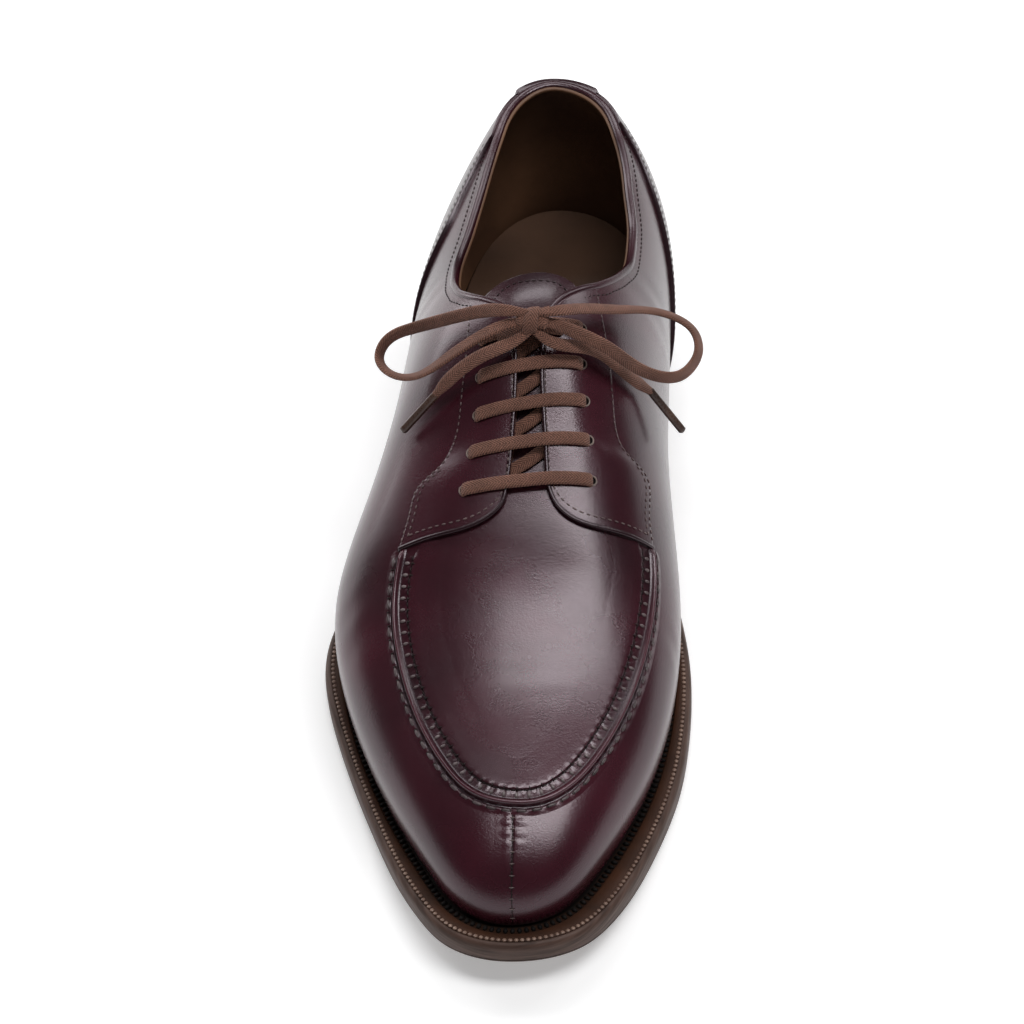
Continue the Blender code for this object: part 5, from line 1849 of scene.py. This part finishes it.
@dataclass
class Lacing:
    """The flat lace: bars, crossings under them, knot, loops and ends with their aglets."""

    width: float = 4.1
    thick: float = 1.6
    hole: float = 1.5

    up = np.array((0.0, -0.5, 0.866))
    knot = np.array((1.1, 168.6, 100.4))

    def build(self, shop: Workshop) -> None:
        """Make the free cords first, then what the lace runs through."""
        self.bow(shop)
        self.tie(shop)
        self.bars(shop)
        self.crossings(shop)
        self.holes(shop)

    def route(self, name: str) -> List[Tuple[float, float, float]]:
        """Return a strand's points, led on into the knot."""
        side = -1.0 if "outer" in name else 1.0
        middle = self.knot[0]
        if "loop" in name:
            return [(middle + 1.6 * side, 168.9, 103.2), *BOW[name], (middle + 1.4 * side, 168.0, 100.6)]
        return [(middle + 0.6 * side, 166.2, 98.6), *BOW[name]]

    def bow(self, shop: Workshop) -> None:
        """Make the loops and ends, with an aglet on each end."""
        for name in BOW:
            loop = "loop" in name
            rows = self.route(name)
            path = path_points(rows, 110 if loop else 56)
            along = unit(np.gradient(path, axis=0))
            flat = unit(np.cross(along, self.up))
            rise = np.cross(flat, along)
            share = np.linspace(0.0, 1.0, len(path))
            turn = np.radians(18.0 + 42.0 * np.sin(np.pi * share) ** 2) if loop else np.radians(20.0 * share)
            side = np.cos(turn)[:, None] * flat + np.sin(turn)[:, None] * rise
            run = run_of(path)
            near = np.minimum(run, run[-1] - run) if loop else run
            pinch = 1.0 - 0.36 * bell(near, 6.0)
            if not loop:
                pinch = pinch * (1.0 - 0.42 * smooth_step(run[-1] - 7.0, run[-1], run))
            form = ribbon(path, side, self.width * pinch, self.thick * (1.5 - 0.5 * pinch))
            piece = shop.add(name + "_braid", form, LACE, (name,))
            with_pieces = [] if loop else [self.aglet(shop, name.replace("lace_end", "aglet"))]
            centre = SHOE.place(path_points(rows, 34))

    def aglet(self, shop: Workshop, name: str) -> bpy.types.Object:
        """Make the stiff tip of a lace end."""
        path = path_points(AGLETS[name], 24)
        side = np.tile(np.cross(path[-1] - path[0], self.up), (24, 1))
        form = ribbon(path, side, 2.5, 2.2, 14)
        form.values.clear()
        return shop.add(name + "_tip", form, AGLET, (name,))

    def tie(self, shop: Workshop) -> None:
        """Make the knot: the lace wrapped once round its own strands."""
        front = np.array((0.0, -self.up[2], self.up[1]))
        angle = np.radians(np.linspace(-60.0, 330.0, 90))
        path = self.knot + 3.3 * np.cos(angle)[:, None] * front + 3.0 * np.sin(angle)[:, None] * self.up
        path = path + np.linspace(-1.1, 1.1, 90)[:, None] * np.array((1.0, 0.0, 0.0))
        side = np.tile((1.0, 0.0, 0.25), (90, 1))
        form = ribbon(path, side, 4.5, 1.8)
        shop.add("lace_knot_wrap", form, LACE, ("lace_knot",))
        rows = ((-2.6, 168.0, 100.9), (1.1, 168.2, 100.8), (4.8, 168.0, 100.9))
        path = path_points(rows, 30)
        side = np.tile((0.0, 1.0, 0.5), (30, 1))
        form = ribbon(path, side, 5.0, 4.4)
        for station, share, end in ((169.0, -0.095, -0.6), (172.4, 0.118, 2.8)):
            root = SHOE.skin(np.array((station,)), np.array((share,)), np.array((1.6,)))[0]
            rise = self.knot - root
            rows = np.stack([root, root + (0.42, 0.42, 0.30) * rise, root + (0.8, 0.75, 0.68) * rise,
                             (end, self.knot[1] - 0.4, self.knot[2] - 1.2)])
            path = path_points(rows, 30)
            side = np.cross(unit(np.gradient(path, axis=0)), self.up)
            form = form.joined(ribbon(path, side, np.linspace(self.width, 3.0, 30), self.thick))
        shop.add("lace_knot_core", form, LACE)

    def bars(self, shop: Workshop) -> None:
        """Make the bars that cross the throat over the facings."""
        share = np.linspace(0.0, 1.0, 70)
        for number, (first, outer, last, inner) in enumerate(LACE_HOLES, 1):
            station = first + (last - first) * share
            down = -outer - 0.014 + (inner + outer + 0.022) * share
            base = SHOE.skin(station, down, 0.0)
            run = run_of(base)
            near = np.minimum(run, run[-1] - run)
            dip = rounded(near / 2.6)
            sag = 0.35 * bell(share - 0.45, 0.16)
            top = np.interp(share, (0.0, 1.0), self.rest_heights(first, outer, last, inner))
            path = even_points(SHOE.skin(station, down, top - 1.3 + 2.3 * dip - sag), 80)
            side = SHOE.skin(station + 0.5, down, 0.0) - SHOE.skin(station - 0.5, down, 0.0)
            side = even_points(side, 80)
            shop.add("lace_bar_%d_braid" % number, ribbon(path, side, self.width, self.thick), LACE,
                     ("lace_bar_%d" % number,))

    @staticmethod
    def rest_heights(first: float, outer: float, last: float, inner: float) -> Tuple[float, float]:
        """Return the facings' heights at a row's two holes."""
        return (Facing(Side.OUTER, "facing_outer").height_at(first, -outer),
                Facing(Side.INNER, "facing_inner").height_at(last, inner))

    def crossings(self, shop: Workshop) -> None:
        """Make the lace that climbs from row to row, seen between the facings."""
        whole: Optional[Form] = None
        for low, high in zip(LACE_HOLES, LACE_HOLES[1:] + ((0.0, 0.0, 181.0, 0.0),)):
            share = np.linspace(0.0, 1.0, 30)
            station = low[0] + 2.4 + (high[2] - low[0] - 3.6) * share
            down = -0.095 + 0.21 * share
            path = SHOE.skin(station, down, np.full(30, -1.45))
            side = np.cross(unit(np.gradient(path, axis=0)), SHOE.ups(station, down))
            form = ribbon(path, side, self.width, 1.3)
            whole = form if whole is None else whole.joined(form)
        shop.add("lace_crossings", whole, LACE)

    def holes(self, shop: Workshop) -> None:
        """Make the punched holes' rims, pale with a painted highlight, and their middles, filled dark with
        painted shade.
        """
        rims: Optional[Form] = None
        shade_discs: Optional[Form] = None
        for first, outer, last, inner in LACE_HOLES:
            low, high = self.rest_heights(first, outer, last, inner)
            for station, down, rest in ((first, -outer - 0.007, low), (last, inner + 0.007, high)):
                place = np.array((station, down))
                centre = SHOE.skin(place[:1], place[1:], np.array((rest + 0.02,)))[0]
                up = SHOE.ups(place[:1], place[1:])[0]
                one = unit(np.cross(up, (1.0, 0.0, 0.0)))
                two = np.cross(up, one)
                angle = np.linspace(0.0, 2.0 * np.pi, 24, endpoint=False)
                spoke = np.cos(angle)[:, None] * one + np.sin(angle)[:, None] * two
                turn = np.linspace(0.0, 2.0 * np.pi, 8, endpoint=False)
                rings = centre + spoke[:, None, :] * (self.hole + 0.26 * np.cos(turn))[None, :, None]
                rings = rings + (0.24 * np.sin(turn))[None, :, None] * up
                rim = loft(rings, False)
                rims = rim if rims is None else rims.joined(rim)
                levels = []
                # the hole's dark middle: painted shade
                for radius, height in ((0.2, 0.06), (self.hole, 0.04), (self.hole, -0.9), (0.2, -0.9)):
                    levels.append(centre + radius * spoke + height * up)
                shade_disc = loft(np.stack(levels), True)
                shade_discs = shade_disc if shade_discs is None else shade_discs.joined(shade_disc)
        shop.add("lace_hole_rims", rims, HOLE_RIM_HIGHLIGHT)
        shop.add("lace_hole_shade_discs", shade_discs, HOLE_SHADE)


@dataclass
class Studio:
    """The floor, the lights and the camera at the photograph's angle."""

    lens: float = 107.46
    eye: Tuple[float, float, float] = (69.04, -486.1, 743.14)
    view_right: Tuple[float, float, float] = (0.99974, 0.0230, 0.0)
    view_ahead: Tuple[float, float, float] = (-0.0154, 0.6689, -0.7431)
    swing: float = -0.0644
    floor_half: float = 1.1

    # The room's brightness by the height of the direction: a pale horizon under a dim ceiling.
    room = {"From Min": 0.0, "From Max": 0.16, "To Min": 0.85, "To Max": 0.09}
    boxes = (
        # name, place, aim, breadth, length, power
        ("top_box", (0.28, -0.04, 1.21), (0.0, -0.02, 0.0), 0.30, 0.94, 8.6),
        ("back_box", (-0.05, 0.78, 1.04), (0.0, 0.0, 0.06), 0.80, 0.28, 4.0),
        ("outer_box", (-0.86, 0.68, 0.50), (0.0, 0.0, 0.03), 0.42, 0.90, 4.5),
        ("inner_box", (0.66, 0.62, 0.72), (0.0, 0.0, 0.03), 0.24, 0.50, 1.6),
    )

    def build(self) -> None:
        """Set up the stage."""
        self.camera()
        self.floor()
        self.lights()

    def camera(self) -> None:
        """Place the camera with no shift, turned to the shoe's middle."""
        right = np.array(self.view_right)
        ahead = unit(unit(np.array(self.view_ahead)) + self.swing * right)
        right = unit(right - np.dot(right, ahead) * ahead)
        above = np.cross(right, ahead)
        data = bpy.data.cameras.new("studio_camera")
        data.lens = self.lens
        data.sensor_width = 36.0
        data.clip_start = 0.05
        camera = put_in_scene("studio_camera", data)
        place = SHOE.place(np.array(self.eye))
        turn = np.stack([right, above, -ahead], axis=1)
        camera.matrix_world = Matrix.Translation(Vector(place)) @ Matrix(turn.tolist()).to_4x4()
        bpy.context.scene.camera = camera

    def floor(self) -> None:
        """Lay a plain pale floor."""
        mesh = bpy.data.meshes.new("studio_floor")
        size = self.floor_half
        mesh.from_pydata([(-size, -size, 0.0), (size, -size, 0.0), (size, size, 0.0), (-size, size, 0.0)], [],
                         [(0, 1, 2, 3)])
        mesh.materials.append(FLOOR.material())
        put_in_scene("studio_floor", mesh)

    def lights(self) -> None:
        """Hang soft boxes above and beside the shoe, in a pale room."""
        world = bpy.data.worlds.new("studio_room")
        world.use_nodes = True
        back = world.node_tree.nodes["Background"]
        back.inputs["Color"].default_value = (1.0, 1.0, 1.0, 1.0)
        direction = world.node_tree.nodes.new("ShaderNodeTexCoord")
        split = world.node_tree.nodes.new("ShaderNodeSeparateXYZ")
        fall = world.node_tree.nodes.new("ShaderNodeMapRange")
        for key, number in self.room.items():
            fall.inputs[key].default_value = number
        world.node_tree.links.new(direction.outputs["Generated"], split.inputs[0])
        world.node_tree.links.new(split.outputs["Z"], fall.inputs["Value"])
        world.node_tree.links.new(fall.outputs["Result"], back.inputs["Strength"])
        bpy.context.scene.world = world
        bpy.context.scene.view_settings.view_transform = "Standard"
        for name, place, aim, breadth, length, power in self.boxes:
            data = bpy.data.lights.new(name, "AREA")
            data.shape = "RECTANGLE"
            data.size = breadth
            data.size_y = length
            data.energy = power
            turn = (Vector(aim) - Vector(place)).to_track_quat("-Z", "Y").to_matrix().to_4x4()
            put_in_scene(name, data).matrix_world = Matrix.Translation(Vector(place)) @ turn


SHOE = Last()


def main() -> None:
    """Build the stage and every sub-assembly, and report each piece."""
    logging.basicConfig(level=logging.INFO, format="%(name)s: %(message)s")
    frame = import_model()
    LOG.info("packed nodes: %d", len(frame["nodes"]))
    Studio().build()
    shop = Workshop(SHOE)
    for assembly in (
        Lacing(),
        UpperShell(),
        ApronSeam(),
        SplitToeSeam(),
        Facing(Side.OUTER, "facing_outer"),
        Facing(Side.INNER, "facing_inner"),
        HeelCounter(),
        Tongue(),
        Bottom(),
    ):
        assembly.build(shop)
        LOG.info("built %s", type(assembly).__name__)


if __name__ == "__main__":
    main()
